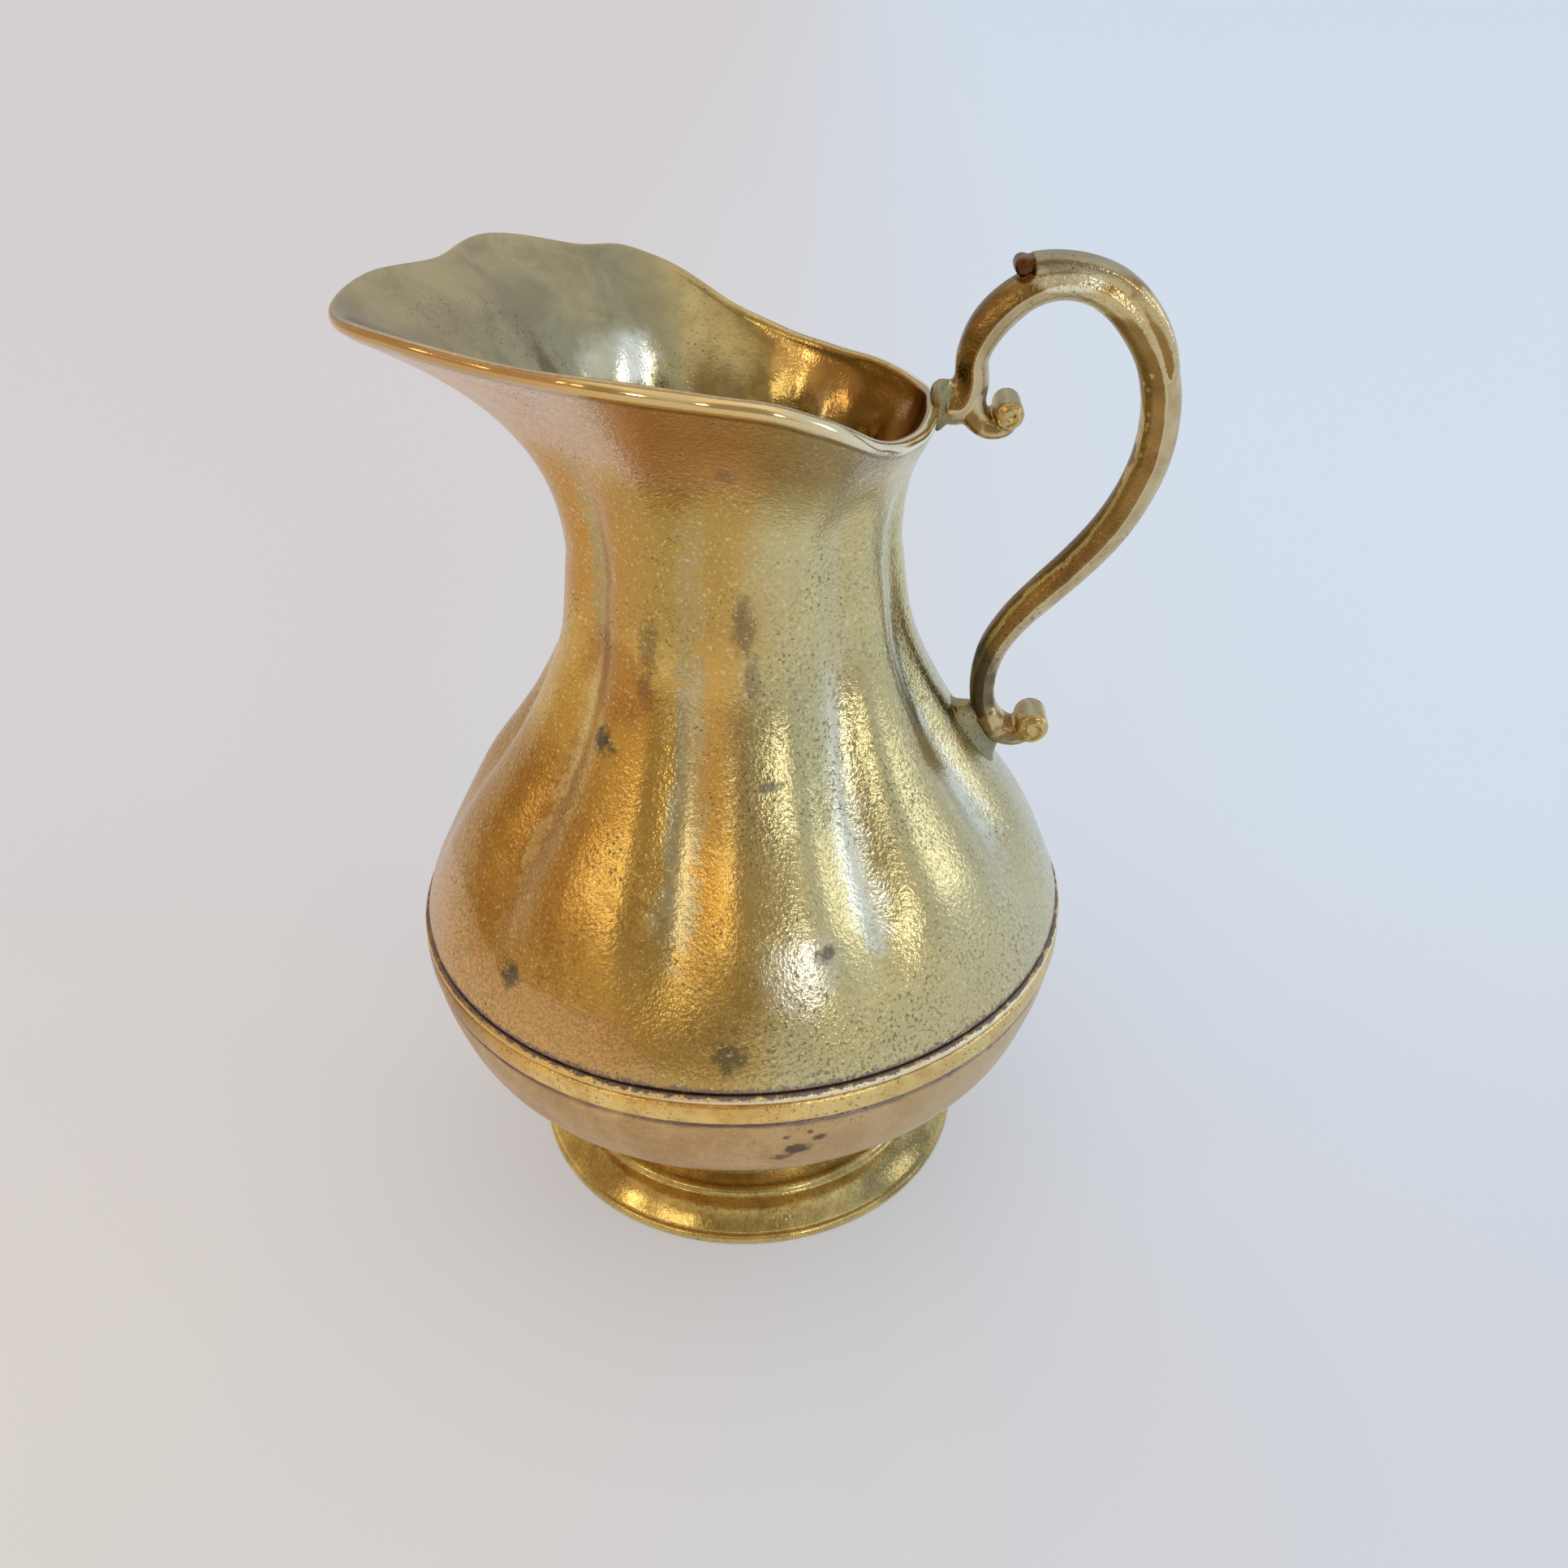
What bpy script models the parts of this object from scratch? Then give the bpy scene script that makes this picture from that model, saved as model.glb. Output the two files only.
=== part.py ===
"""Brass pouring jug: a fluted body with a flared scalloped mouth, a girdle band over the seam of the
belly, a plain lower bowl on a hollow turned foot, and a cast scroll handle brazed to rim and shoulder.
Metres, Z up. It stands on Z = 0, with the handle in the XZ plane on +X. Every object's own origin is
on the jug's axis, and the world's origin is under the middle of the whole footprint."""

import math

import bmesh
import bpy
import numpy as np
from mathutils import Vector

GAP = 0.0003  # clearance between neighbouring pieces

# Foot
FOOT_RADIUS = 0.0550
FOOT_RIM_HEIGHT = 0.0027
FOOT_STEP_RADIUS = 0.0462
FOOT_STEP_Z = 0.0092
FOOT_WAIST_RADIUS = 0.0400
FOOT_WAIST_Z = 0.0165
FOOT_TOP_RADIUS = 0.0425
FOOT_WALL = 0.0032
FOOT_COLUMNS = 48

# Lower bowl and girdle band
BOWL_BOTTOM_Z = 0.0185
BOWL_WALL = 0.0030
BOWL_COLUMNS = 54
BAND_LOW_Z = 0.0650
BAND_TOP_Z = 0.0732
BELLY_RADIUS = 0.0776  # widest reach of the belly
BAND_PROUD = 0.0007  # how far the band stands out from the belly
BAND_DEPTH = 0.0026  # from the band's face in to its seat
BAND_RADIUS = BELLY_RADIUS + BAND_PROUD
BAND_SEAT_RADIUS = BAND_RADIUS - BAND_DEPTH
BAND_GROOVE = 0.0009
SEAM_Z = 0.0690

# Fluted upper body
WALL = 0.0030
NECK_Z = 0.1650
NECK_RADIUS = 0.0364
LOBES = 9
COLUMNS_PER_LOBE = 10
GROOVE_DEPTH = 0.0034
GROOVE_NECK_DEPTH = 0.0018
GROOVE_START_Z = 0.0770
GROOVE_FULL_Z = 0.1050

# Crest radius of the belly against height, from the bowl's lower side up to the neck
BELLY = (
    (0.0341, BELLY_RADIUS - 0.0180),
    (0.0440, BELLY_RADIUS - 0.0070),
    (0.0550, BELLY_RADIUS - 0.0020),
    (0.0660, BELLY_RADIUS),
    (0.0732, BELLY_RADIUS - 0.0004),
    (0.0825, BELLY_RADIUS - 0.0035),
    (0.0990, BELLY_RADIUS - 0.0114),
    (0.1210, NECK_RADIUS + 0.0144),
    (0.1430, NECK_RADIUS + 0.0036),
    (NECK_Z, NECK_RADIUS),
)

# The mouth, by angle from the spout's middle: reach and height of the lip's middle, slope of the wall
# there, thickness of the lip
SPOUT_ANGLE = -160.0
MOUTH = (
    (0.0, 0.0749, 0.2188, 30.0, 0.0026),
    (18.0, 0.0702, 0.2194, 32.0, 0.0028),
    (35.0, 0.0635, 0.2174, 36.0, 0.0030),
    (53.0, 0.0642, 0.2178, 38.0, 0.0033),
    (71.0, 0.0570, 0.2131, 44.0, 0.0036),
    (82.0, 0.0574, 0.2113, 46.0, 0.0037),
    (90.0, 0.0565, 0.2080, 48.0, 0.0037),
    (108.0, 0.0492, 0.1986, 56.0, 0.0036),
    (125.0, 0.0437, 0.1946, 70.0, 0.0034),
    (142.0, 0.0422, 0.1932, 78.0, 0.0032),
    (161.0, 0.0415, 0.1931, 83.0, 0.0030),
    (180.0, 0.0433, 0.1918, 80.0, 0.0030),
)
# Where the flutes' valleys run, by angle from the spout's middle: on the belly, at the neck, at the rim
VALLEYS_BELLY = (0.0, 20.0, 60.0, 100.0, 140.0, 180.0)
VALLEYS_NECK = (0.0, 21.0, 58.0, 108.0, 143.0, 180.0)
VALLEYS_RIM = (0.0, 35.0, 71.0, 108.0, 143.0, 180.0)

RIM_BRAZE_X = (0.0422, 0.0447)

# Handle, as points (x, z) of the middle line and the thickness across it
HANDLE_WIDTH = 0.0098
HANDLE_FOOT_WIDTH = 0.0086
STRAND = (
    (RIM_BRAZE_X[1], 0.1943, 0.0088),
    (0.0472, 0.1943, 0.0087),
    (0.0490, 0.1980, 0.0074),
    (0.0492, 0.2040, 0.0066),
    (0.0515, 0.2095, 0.0074),
    (0.0550, 0.2137, 0.0076),
    (0.0600, 0.2172, 0.0073),
    (0.0660, 0.2188, 0.0076),
    (0.0717, 0.2180, 0.0078),
    (0.0773, 0.2148, 0.0080),
    (0.0820, 0.2095, 0.0080),
    (0.0856, 0.2035, 0.0080),
    (0.0876, 0.1970, 0.0081),
    (0.0882, 0.1900, 0.0081),
    (0.0874, 0.1825, 0.0081),
    (0.0849, 0.1748, 0.0080),
    (0.0807, 0.1668, 0.0080),
    (0.0746, 0.1589, 0.0078),
    (0.0681, 0.1519, 0.0075),
    (0.0619, 0.1449, 0.0068),
    (0.0576, 0.1375, 0.0062),
    (0.0560, 0.1300, 0.0056),
    (0.0564, 0.1235, 0.0056),
    (0.0585, 0.1185, 0.0062),
)
TONGUE = (
    (0.0574, 0.2216, 0.0038),
    (0.0640, 0.2222, 0.0040),
    (0.0705, 0.2214, 0.0042),
    (0.0768, 0.2190, 0.0044),
    (0.0822, 0.2146, 0.0044),
    (0.0862, 0.2090, 0.0040),
    (0.0886, 0.2028, 0.0032),
    (0.0896, 0.1970, 0.0024),
)
UPPER_ARM = (
    (0.0488, 0.1957, 0.0068),
    (0.0503, 0.1919, 0.0058),
    (0.0533, 0.1897, 0.0052),
    (0.0564, 0.1903, 0.0048),
    (0.0571, 0.1924, 0.0044),
)
LOWER_ARM = (
    (0.0566, 0.1218, 0.0060),
    (0.0595, 0.1176, 0.0066),
    (0.0640, 0.1160, 0.0056),
    (0.0674, 0.1172, 0.0048),
)
BULB_CENTRE = (0.0575, 0.2214)
BULB_RADIUS = 0.0022
UPPER_VOLUTE_CENTRE = (0.0570, 0.1929)
UPPER_VOLUTE_RADIUS = 0.0030
LOWER_VOLUTE_CENTRE = (0.0678, 0.1187)
LOWER_VOLUTE_RADIUS = 0.0037

# Brazed joints
RIM_BRAZE_Z = 0.1938
RIM_BRAZE_RADII = (0.0052, 0.0046)
PAD_CENTRE = (0.0566, 0.1166)
PAD_ANGLE = -53.0
PAD_THICKNESS = 0.0034
PAD_LENGTH = 0.0190
PAD_WIDTH = 0.0094
HANDLE_TRIM = 0.030  # side of the block that cuts the handle's foot level with the pad


def smooth_through(points, at):
    """Cubic Hermite curve through points (x, value), with slopes that never overshoot."""
    xs = np.array([p[0] for p in points], float)
    ys = np.array([p[1] for p in points], float)
    steps = np.diff(xs)
    rise = np.diff(ys) / steps
    slope = np.zeros(len(xs))
    slope[1:-1] = (rise[:-1] * steps[1:] + rise[1:] * steps[:-1]) / (steps[1:] + steps[:-1])
    slope[0] = rise[0]
    slope[-1] = rise[-1]
    at = np.clip(np.asarray(at, float), xs[0], xs[-1])
    k = np.clip(np.searchsorted(xs, at, side="right") - 1, 0, len(xs) - 2)
    h = steps[k]
    t = (at - xs[k]) / h
    a = (1 + 2 * t) * (1 - t) ** 2
    b = t * (1 - t) ** 2
    c = t * t * (3 - 2 * t)
    d = t * t * (t - 1)
    return a * ys[k] + b * h * slope[k] + c * ys[k + 1] + d * h * slope[k + 1]


def ease(t):
    t = np.clip(t, 0.0, 1.0)
    return t * t * (3 - 2 * t)


def belly_radius(z):
    return smooth_through(BELLY, z)


def mirrored(points):
    """The mouth's values over the whole turn, from those of one side."""
    left = [(-p[0],) + tuple(p[1:]) for p in reversed(points[1:])]
    before = (points[-2][0] - 360.0,) + tuple(points[-2][1:])
    after = (360.0 - points[-2][0],) + tuple(points[-2][1:])
    return [before] + left + list(points) + [after]


def mouth_at(angle):
    full = mirrored(MOUTH)
    reach = smooth_through([(p[0], p[1]) for p in full], angle)
    height = smooth_through([(p[0], p[2]) for p in full], angle)
    slope = smooth_through([(p[0], p[3]) for p in full], angle)
    return float(reach), float(height), math.radians(float(slope))


def lip_thickness(angle):
    return float(smooth_through([(p[0], p[4]) for p in mirrored(MOUTH)], angle))


def flute(angle, level):
    """Depth share of the flute, 0 on a crest and 1 in a valley. Level runs 0 belly, 1 neck, 2 rim."""
    side = abs(angle)
    low = np.array(VALLEYS_BELLY)
    mid = np.array(VALLEYS_NECK)
    top = np.array(VALLEYS_RIM)
    if level <= 1:
        places = low + (mid - low) * level
    else:
        places = mid + (top - mid) * (level - 1)
    phase = np.interp(side, places, VALLEYS_BELLY)
    wave = 0.5 - 0.5 * math.cos(math.radians(LOBES * phase))
    return wave ** (2.2 - 0.5 * min(level, 1.0))


def spout_side_angle(theta):
    """Angle from the spout's middle, -180 to 180, of a direction given from +X."""
    return (theta - SPOUT_ANGLE + 180.0) % 360.0 - 180.0


def upper_meridian(theta, heights, rim_steps):
    """Middle line of the wall at one direction: points (reach, z), from the seam up to the lip."""
    angle = spout_side_angle(theta)
    points = []
    for z in heights:
        level = ease((z - GROOVE_FULL_Z) / (NECK_Z - GROOVE_FULL_Z))
        start = ease((z - GROOVE_START_Z) / (GROOVE_FULL_Z - GROOVE_START_Z))
        depth = start * (GROOVE_DEPTH + (GROOVE_NECK_DEPTH - GROOVE_DEPTH) * level)
        points.append((float(belly_radius(z)) - depth * flute(angle, level), z))
    reach, height, slope = mouth_at(angle)
    rise = height - NECK_Z
    out = reach - NECK_RADIUS + WALL / 2
    far = math.hypot(rise, out)
    p0 = (NECK_RADIUS, NECK_Z)
    back = ease((abs(angle) - 80.0) / 60.0)
    p1 = (NECK_RADIUS, NECK_Z + (0.50 + 0.14 * back) * rise)
    p3 = (reach + 0.5 * WALL * math.sin(slope), height - 0.5 * WALL * math.cos(slope))
    reach_in = (0.36 - 0.12 * back) * far
    p2 = (p3[0] - reach_in * math.cos(slope), p3[1] - reach_in * math.sin(slope))
    for i in range(1, rim_steps + 1):
        t = i / rim_steps
        w = ((1 - t) ** 3, 3 * t * (1 - t) ** 2, 3 * t * t * (1 - t), t ** 3)
        r = w[0] * p0[0] + w[1] * p1[0] + w[2] * p2[0] + w[3] * p3[0]
        z = w[0] * p0[1] + w[1] * p1[1] + w[2] * p2[1] + w[3] * p3[1]
        depth = GROOVE_NECK_DEPTH * (1 - ease(t)) * flute(angle, 1 + ease(t))
        points.append((r - depth, z))
    return points


def normals_of(points):
    """Unit normals, on the outer side, of a line of points (reach, z) that runs upwards."""
    p = np.array(points)
    t = np.gradient(p, axis=0)
    t /= np.linalg.norm(t, axis=1)[:, None]
    return np.stack([t[:, 1], -t[:, 0]], 1)


def ring_mesh(name, rings, closed_rows=True):
    """Mesh from rings of points: every ring has the same count, and both directions close."""
    rows = len(rings)
    columns = len(rings[0])
    points = [tuple(p) for ring in rings for p in ring]
    faces = []
    last = rows if closed_rows else rows - 1
    for i in range(last):
        for j in range(columns):
            a = i * columns + j
            b = i * columns + (j + 1) % columns
            c = ((i + 1) % rows) * columns + (j + 1) % columns
            d = ((i + 1) % rows) * columns + j
            faces.append((a, b, c, d))
    mesh = bpy.data.meshes.new(name)
    mesh.from_pydata(points, [], faces)
    return mesh


def finish_mesh(mesh):
    """Makes the mesh's normals point outwards and shades it smooth apart from its sharp edges."""
    work = bmesh.new()
    work.from_mesh(mesh)
    bmesh.ops.recalc_face_normals(work, faces=work.faces[:])
    work.to_mesh(mesh)
    work.free()
    mesh.polygons.foreach_set("use_smooth", [True] * len(mesh.polygons))
    mesh.set_sharp_from_angle(angle=math.radians(42))
    mesh.update()


def add_object(name, mesh, material, hidden=False):
    finish_mesh(mesh)
    obj = bpy.data.objects.new(name, mesh)
    bpy.context.scene.collection.objects.link(obj)
    if material is not None:
        mesh.materials.append(material)
    if hidden:
        obj.hide_render = True
        obj.display_type = "WIRE"
    return obj


def brass(name, colour, roughness):
    material = bpy.data.materials.new(name)
    material.use_nodes = True
    shader = material.node_tree.nodes["Principled BSDF"]
    shader.inputs["Base Color"].default_value = (*colour, 1.0)
    shader.inputs["Metallic"].default_value = 1.0
    shader.inputs["Roughness"].default_value = roughness
    return material


def turned(name, profile, columns, material):
    """Solid of revolution about Z from a closed profile of points (reach, z)."""
    rings = []
    for r, z in profile:
        ring = []
        for j in range(columns):
            a = 2 * math.pi * j / columns
            ring.append((r * math.cos(a), r * math.sin(a), z))
        rings.append(ring)
    return add_object(name, ring_mesh(name, rings), material)


def capped_turned_mesh(name, profile, columns):
    """Solid of revolution whose profile begins and ends on the axis."""
    points = [(0.0, 0.0, profile[0][1])]
    for r, z in profile[1:-1]:
        for j in range(columns):
            a = 2 * math.pi * j / columns
            points.append((r * math.cos(a), r * math.sin(a), z))
    points.append((0.0, 0.0, profile[-1][1]))
    faces = []
    rows = len(profile) - 2
    for j in range(columns):
        k = (j + 1) % columns
        faces.append((0, 1 + j, 1 + k))
        for i in range(rows - 1):
            a = 1 + i * columns
            faces.append((a + j, a + columns + j, a + columns + k, a + k))
        a = 1 + (rows - 1) * columns
        faces.append((a + j, len(points) - 1, a + k))
    mesh = bpy.data.meshes.new(name)
    mesh.from_pydata(points, [], faces)
    return mesh


def build_foot(material):
    """Hollow turned foot: base rim, convex lower band, step, cove and a flange under the bowl."""
    top_z = bowl_underside(FOOT_TOP_RADIUS) - GAP
    inner_top = FOOT_TOP_RADIUS - FOOT_WALL
    inner_top_z = bowl_underside(inner_top) - GAP
    profile = [
        (FOOT_RADIUS - 0.0006, 0.0),
        (FOOT_RADIUS, 0.0006),
        (FOOT_RADIUS, FOOT_RIM_HEIGHT - 0.0005),
        (FOOT_RADIUS - 0.0007, FOOT_RIM_HEIGHT),
        (FOOT_RADIUS - 0.0019, FOOT_RIM_HEIGHT + 0.0006),
        (FOOT_RADIUS - 0.0036, FOOT_RIM_HEIGHT + 0.0024),
        (FOOT_RADIUS - 0.0061, FOOT_RIM_HEIGHT + 0.0044),
        (FOOT_STEP_RADIUS + 0.0004, FOOT_STEP_Z - 0.0012),
        (FOOT_STEP_RADIUS, FOOT_STEP_Z),
        (FOOT_STEP_RADIUS - 0.0010, FOOT_STEP_Z + 0.0007),
        (FOOT_WAIST_RADIUS + 0.0024, FOOT_STEP_Z + 0.0023),
        (FOOT_WAIST_RADIUS + 0.0005, FOOT_WAIST_Z - 0.0025),
        (FOOT_WAIST_RADIUS, FOOT_WAIST_Z),
        (FOOT_WAIST_RADIUS + 0.0008, FOOT_WAIST_Z + 0.0030),
        (FOOT_TOP_RADIUS, top_z - 0.0010),
        (FOOT_TOP_RADIUS, top_z),
        (inner_top, inner_top_z),
        (FOOT_WAIST_RADIUS - FOOT_WALL, FOOT_WAIST_Z),
        (FOOT_WAIST_RADIUS - FOOT_WALL + 0.0022, FOOT_STEP_Z + 0.0010),
        (FOOT_STEP_RADIUS - FOOT_WALL, FOOT_STEP_Z - 0.0024),
        (FOOT_RADIUS - 0.0052, FOOT_RIM_HEIGHT),
        (FOOT_RADIUS - 0.0040, 0.0),
    ]
    return turned("foot", profile, FOOT_COLUMNS, material)


def bowl_underside(r):
    """Height of the bowl's outer surface below the belly, against the reach from the axis."""
    first = BELLY[0]
    return float(
        smooth_through(
            (
                (0.0, BOWL_BOTTOM_Z),
                (0.0150, BOWL_BOTTOM_Z + 0.0004),
                (0.0300, BOWL_BOTTOM_Z + 0.0022),
                (0.0425, BOWL_BOTTOM_Z + 0.0052),
                (first[1] - 0.0076, BOWL_BOTTOM_Z + 0.0095),
                (first[1], first[0]),
            ),
            r,
        )
    )


def build_lower_bowl(material):
    """Plain round bowl, its top edge set in under the girdle band."""
    low_z, reach = BELLY[0]
    outer = [(r, bowl_underside(r)) for r in (0.0150, 0.0300, 0.0400, reach - 0.0116, reach - 0.0051)]
    for share in (0.0, 0.16013072, 0.32352941, 0.50326797, 0.68300654, 0.86274510, 1.0):
        z = low_z + share * (BAND_LOW_Z - GAP - low_z)
        outer.append((float(belly_radius(z)), z))
    normals = normals_of([(0.0, BOWL_BOTTOM_Z)] + outer)[1:]
    inner = []
    for (r, z), (nr, nz) in zip(outer, normals):
        inner.append((r - BOWL_WALL * nr, z - BOWL_WALL * nz))
    inner[-1] = (BAND_SEAT_RADIUS - BOWL_WALL + 0.0002, BAND_LOW_Z)
    inner = inner[:1] + inner[2::2]
    top = SEAM_Z - GAP / 2
    profile = [(0.0, BOWL_BOTTOM_Z)] + outer
    profile += [(BAND_SEAT_RADIUS, BAND_LOW_Z + 0.0001), (BAND_SEAT_RADIUS, top)]
    profile += [(BAND_SEAT_RADIUS - BOWL_WALL, top)]
    profile += list(reversed(inner))
    profile += [(0.0, BOWL_BOTTOM_Z + BOWL_WALL)]
    mesh = capped_turned_mesh("lower_bowl", profile, BOWL_COLUMNS)
    return add_object("lower_bowl", mesh, material)


def build_girdle_band(material):
    """Band with a soft crown and a fine ridge near its upper edge, seated over the seam."""
    low = BAND_LOW_Z + GAP
    top = BAND_TOP_Z - GAP
    inner = BAND_SEAT_RADIUS + GAP
    profile = [
        (inner, low),
        (BAND_RADIUS - 0.0006, low),
        (BAND_RADIUS - 0.0001, low + 0.0006),
        (BAND_RADIUS, low + 0.0022),
        (BAND_RADIUS - 0.0001, top - 0.0026),
        (BAND_RADIUS - 0.0004, top - 0.0021),
        (BAND_RADIUS - 0.0003, top - 0.0010),
        (BAND_RADIUS - 0.0010, top),
        (inner, top),
    ]
    return turned("girdle_band", profile, BOWL_COLUMNS, material)


UPPER_HEIGHTS = (
    BAND_TOP_Z + BAND_GROOVE,
    0.0785,
    0.0840,
    0.0900,
    0.0965,
    0.1035,
    0.1110,
    0.1190,
    0.1275,
    0.1370,
    0.1480,
    0.1570,
    NECK_Z,
)
RIM_STEPS = 8
INNER_ROWS = (20, 18, 16, 14, 12, 10, 8, 6, 4, 2, 0)


def outer_points(theta, spread=0.0):
    """Outer side of the wall at one direction, moved out by spread, and the wall's normals."""
    line = upper_meridian(theta, UPPER_HEIGHTS, RIM_STEPS)
    normals = normals_of(line)
    moved = [(r + spread * n[0], z + spread * n[1]) for (r, z), n in zip(line, normals)]
    return moved, line, normals


def build_upper_body(material):
    """Fluted shell, every direction one loop: seat, outer side, rounded lip, inner side."""
    count = LOBES * COLUMNS_PER_LOBE
    columns = []
    for j in range(count):
        theta = 360.0 * j / count
        _, line, normals = outer_points(theta)
        steps = len(line)
        loop = [(BAND_SEAT_RADIUS, SEAM_Z + GAP / 2), (BAND_SEAT_RADIUS, BAND_TOP_Z)]
        loop += line[:-1]
        end = np.array(line[-1])
        normal = np.array(normals[-1])
        along = np.array([-normal[1], normal[0]])
        half = lip_thickness(spout_side_angle(theta)) / 2
        middle = end - normal * (WALL / 2)
        for degrees in (72, 30, -10, -50, -85):
            a = math.radians(degrees)
            loop.append(tuple(middle + half * (math.sin(a) * normal + math.cos(a) * along)))
        for k in INNER_ROWS:
            k = min(k, steps - 2)
            r, z = line[k]
            n = normals[k]
            loop.append((r - WALL * n[0], z - WALL * n[1]))
        loop.append((BAND_SEAT_RADIUS - WALL, SEAM_Z + GAP / 2))
        columns.append(loop)
    rings = []
    for i in range(len(columns[0])):
        ring = []
        for j in range(count):
            a = 2 * math.pi * j / count
            r, z = columns[j][i]
            ring.append((r * math.cos(a), r * math.sin(a), z))
        rings.append(ring)
    return add_object("upper_body", ring_mesh("upper_body", rings), material)


def build_body_envelope():
    """Filled copy of the body, larger by the gap, that the brazed joints are fitted against."""
    count = LOBES * COLUMNS_PER_LOBE
    rings = []
    for j in range(count):
        theta = 360.0 * j / count
        moved, line, normals = outer_points(theta, GAP)
        end = np.array(line[-1])
        normal = np.array(normals[-1])
        along = np.array([-normal[1], normal[0]])
        middle = end - normal * (WALL / 2)
        half = lip_thickness(spout_side_angle(theta)) / 2 + GAP
        lip = []
        for degrees in (72, 30, -10):
            a = math.radians(degrees)
            lip.append(tuple(middle + half * (math.sin(a) * normal + math.cos(a) * along)))
        rings.append(moved[:-1] + lip)
    points = []
    rows = len(rings[0])
    for i in range(rows):
        for j in range(count):
            a = 2 * math.pi * j / count
            r, z = rings[j][i]
            points.append((r * math.cos(a), r * math.sin(a), z))
    faces = []
    for i in range(rows - 1):
        for j in range(count):
            k = (j + 1) % count
            faces.append((i * count + j, i * count + k, (i + 1) * count + k, (i + 1) * count + j))
    points.append((0.0, 0.0, UPPER_HEIGHTS[0]))
    points.append((0.0, 0.0, MOUTH[-1][2]))
    for j in range(count):
        k = (j + 1) % count
        faces.append((len(points) - 2, k, j))
        top = (rows - 1) * count
        faces.append((len(points) - 1, top + j, top + k))
    mesh = bpy.data.meshes.new("body_envelope")
    mesh.from_pydata(points, [], faces)
    return add_object("body_envelope", mesh, None, hidden=True)


def rounded_section(width, thickness, corner=0.36, points_per_corner=3):
    """Points (across, along width) of a rounded rectangle."""
    radius = corner * min(width, thickness)
    result = []
    for k in range(4):
        sx = (1, -1, -1, 1)[k]
        sy = (1, 1, -1, -1)[k]
        cx = sx * (thickness / 2 - radius)
        cy = sy * (width / 2 - radius)
        for i in range(points_per_corner):
            a = math.radians(90.0 * k + 90.0 * i / (points_per_corner - 1))
            result.append((cx + radius * math.cos(a), cy + radius * math.sin(a)))
    return result


def curve_points(controls, per_span):
    """Smooth line through the control points (x, z, thickness)."""
    c = np.array(controls, float)
    chord = np.concatenate([[0], np.cumsum(np.linalg.norm(np.diff(c[:, :2], axis=0), axis=1))])
    at = []
    for i in range(len(c) - 1):
        for k in range(per_span):
            at.append(chord[i] + (chord[i + 1] - chord[i]) * k / per_span)
    at.append(chord[-1])
    at = np.array(at)
    columns = [smooth_through(list(zip(chord, c[:, k])), at) for k in range(3)]
    return np.stack(columns, 1)


def swept(name, controls, widths, per_span=1, corner=0.36):
    """Bar of rounded rectangular section along a line in the XZ plane, closed at both ends. Its
    width goes from the first to the second value."""
    line = curve_points(controls, per_span)
    tangent = np.gradient(line[:, :2], axis=0)
    tangent /= np.linalg.norm(tangent, axis=1)[:, None]
    rings = []
    for k, ((x, z, thickness), (tx, tz)) in enumerate(zip(line, tangent)):
        width = widths[0] + (widths[1] - widths[0]) * k / (len(line) - 1)
        ring = []
        for across, side in rounded_section(width, thickness, corner):
            ring.append((x - tz * across, side, z + tx * across))
        rings.append(ring)
    mesh = ring_mesh(name, rings, closed_rows=False)
    work = bmesh.new()
    work.from_mesh(mesh)
    work.verts.ensure_lookup_table()
    count = len(rings[0])
    work.faces.new([work.verts[i] for i in range(count)])
    work.faces.new([work.verts[len(work.verts) - 1 - i] for i in range(count)])
    work.to_mesh(mesh)
    work.free()
    return add_object(name, mesh, None, hidden=True)


def barrel(name, centre, radius, width, sides=20):
    """Short cylinder along Y with rounded ends, as a scroll's eye."""
    edge = 0.32 * radius
    profile = []
    for y, r in (
        (-width / 2, radius - edge),
        (-width / 2 + 0.3 * edge, radius - 0.3 * edge),
        (-width / 2 + edge, radius),
        (width / 2 - edge, radius),
        (width / 2 - 0.3 * edge, radius - 0.3 * edge),
        (width / 2, radius - edge),
    ):
        ring = []
        for j in range(sides):
            a = 2 * math.pi * j / sides
            ring.append((centre[0] + r * math.cos(a), y, centre[1] + r * math.sin(a)))
        profile.append(ring)
    mesh = ring_mesh(name, profile, closed_rows=False)
    work = bmesh.new()
    work.from_mesh(mesh)
    work.verts.ensure_lookup_table()
    work.faces.new([work.verts[i] for i in range(sides)])
    work.faces.new([work.verts[len(work.verts) - 1 - i] for i in range(sides)])
    work.to_mesh(mesh)
    work.free()
    return add_object(name, mesh, None, hidden=True)


def combine(target, other, operation):
    modifier = target.modifiers.new(operation.lower(), "BOOLEAN")
    modifier.operation = operation
    modifier.solver = "EXACT"
    modifier.object = other


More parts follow.
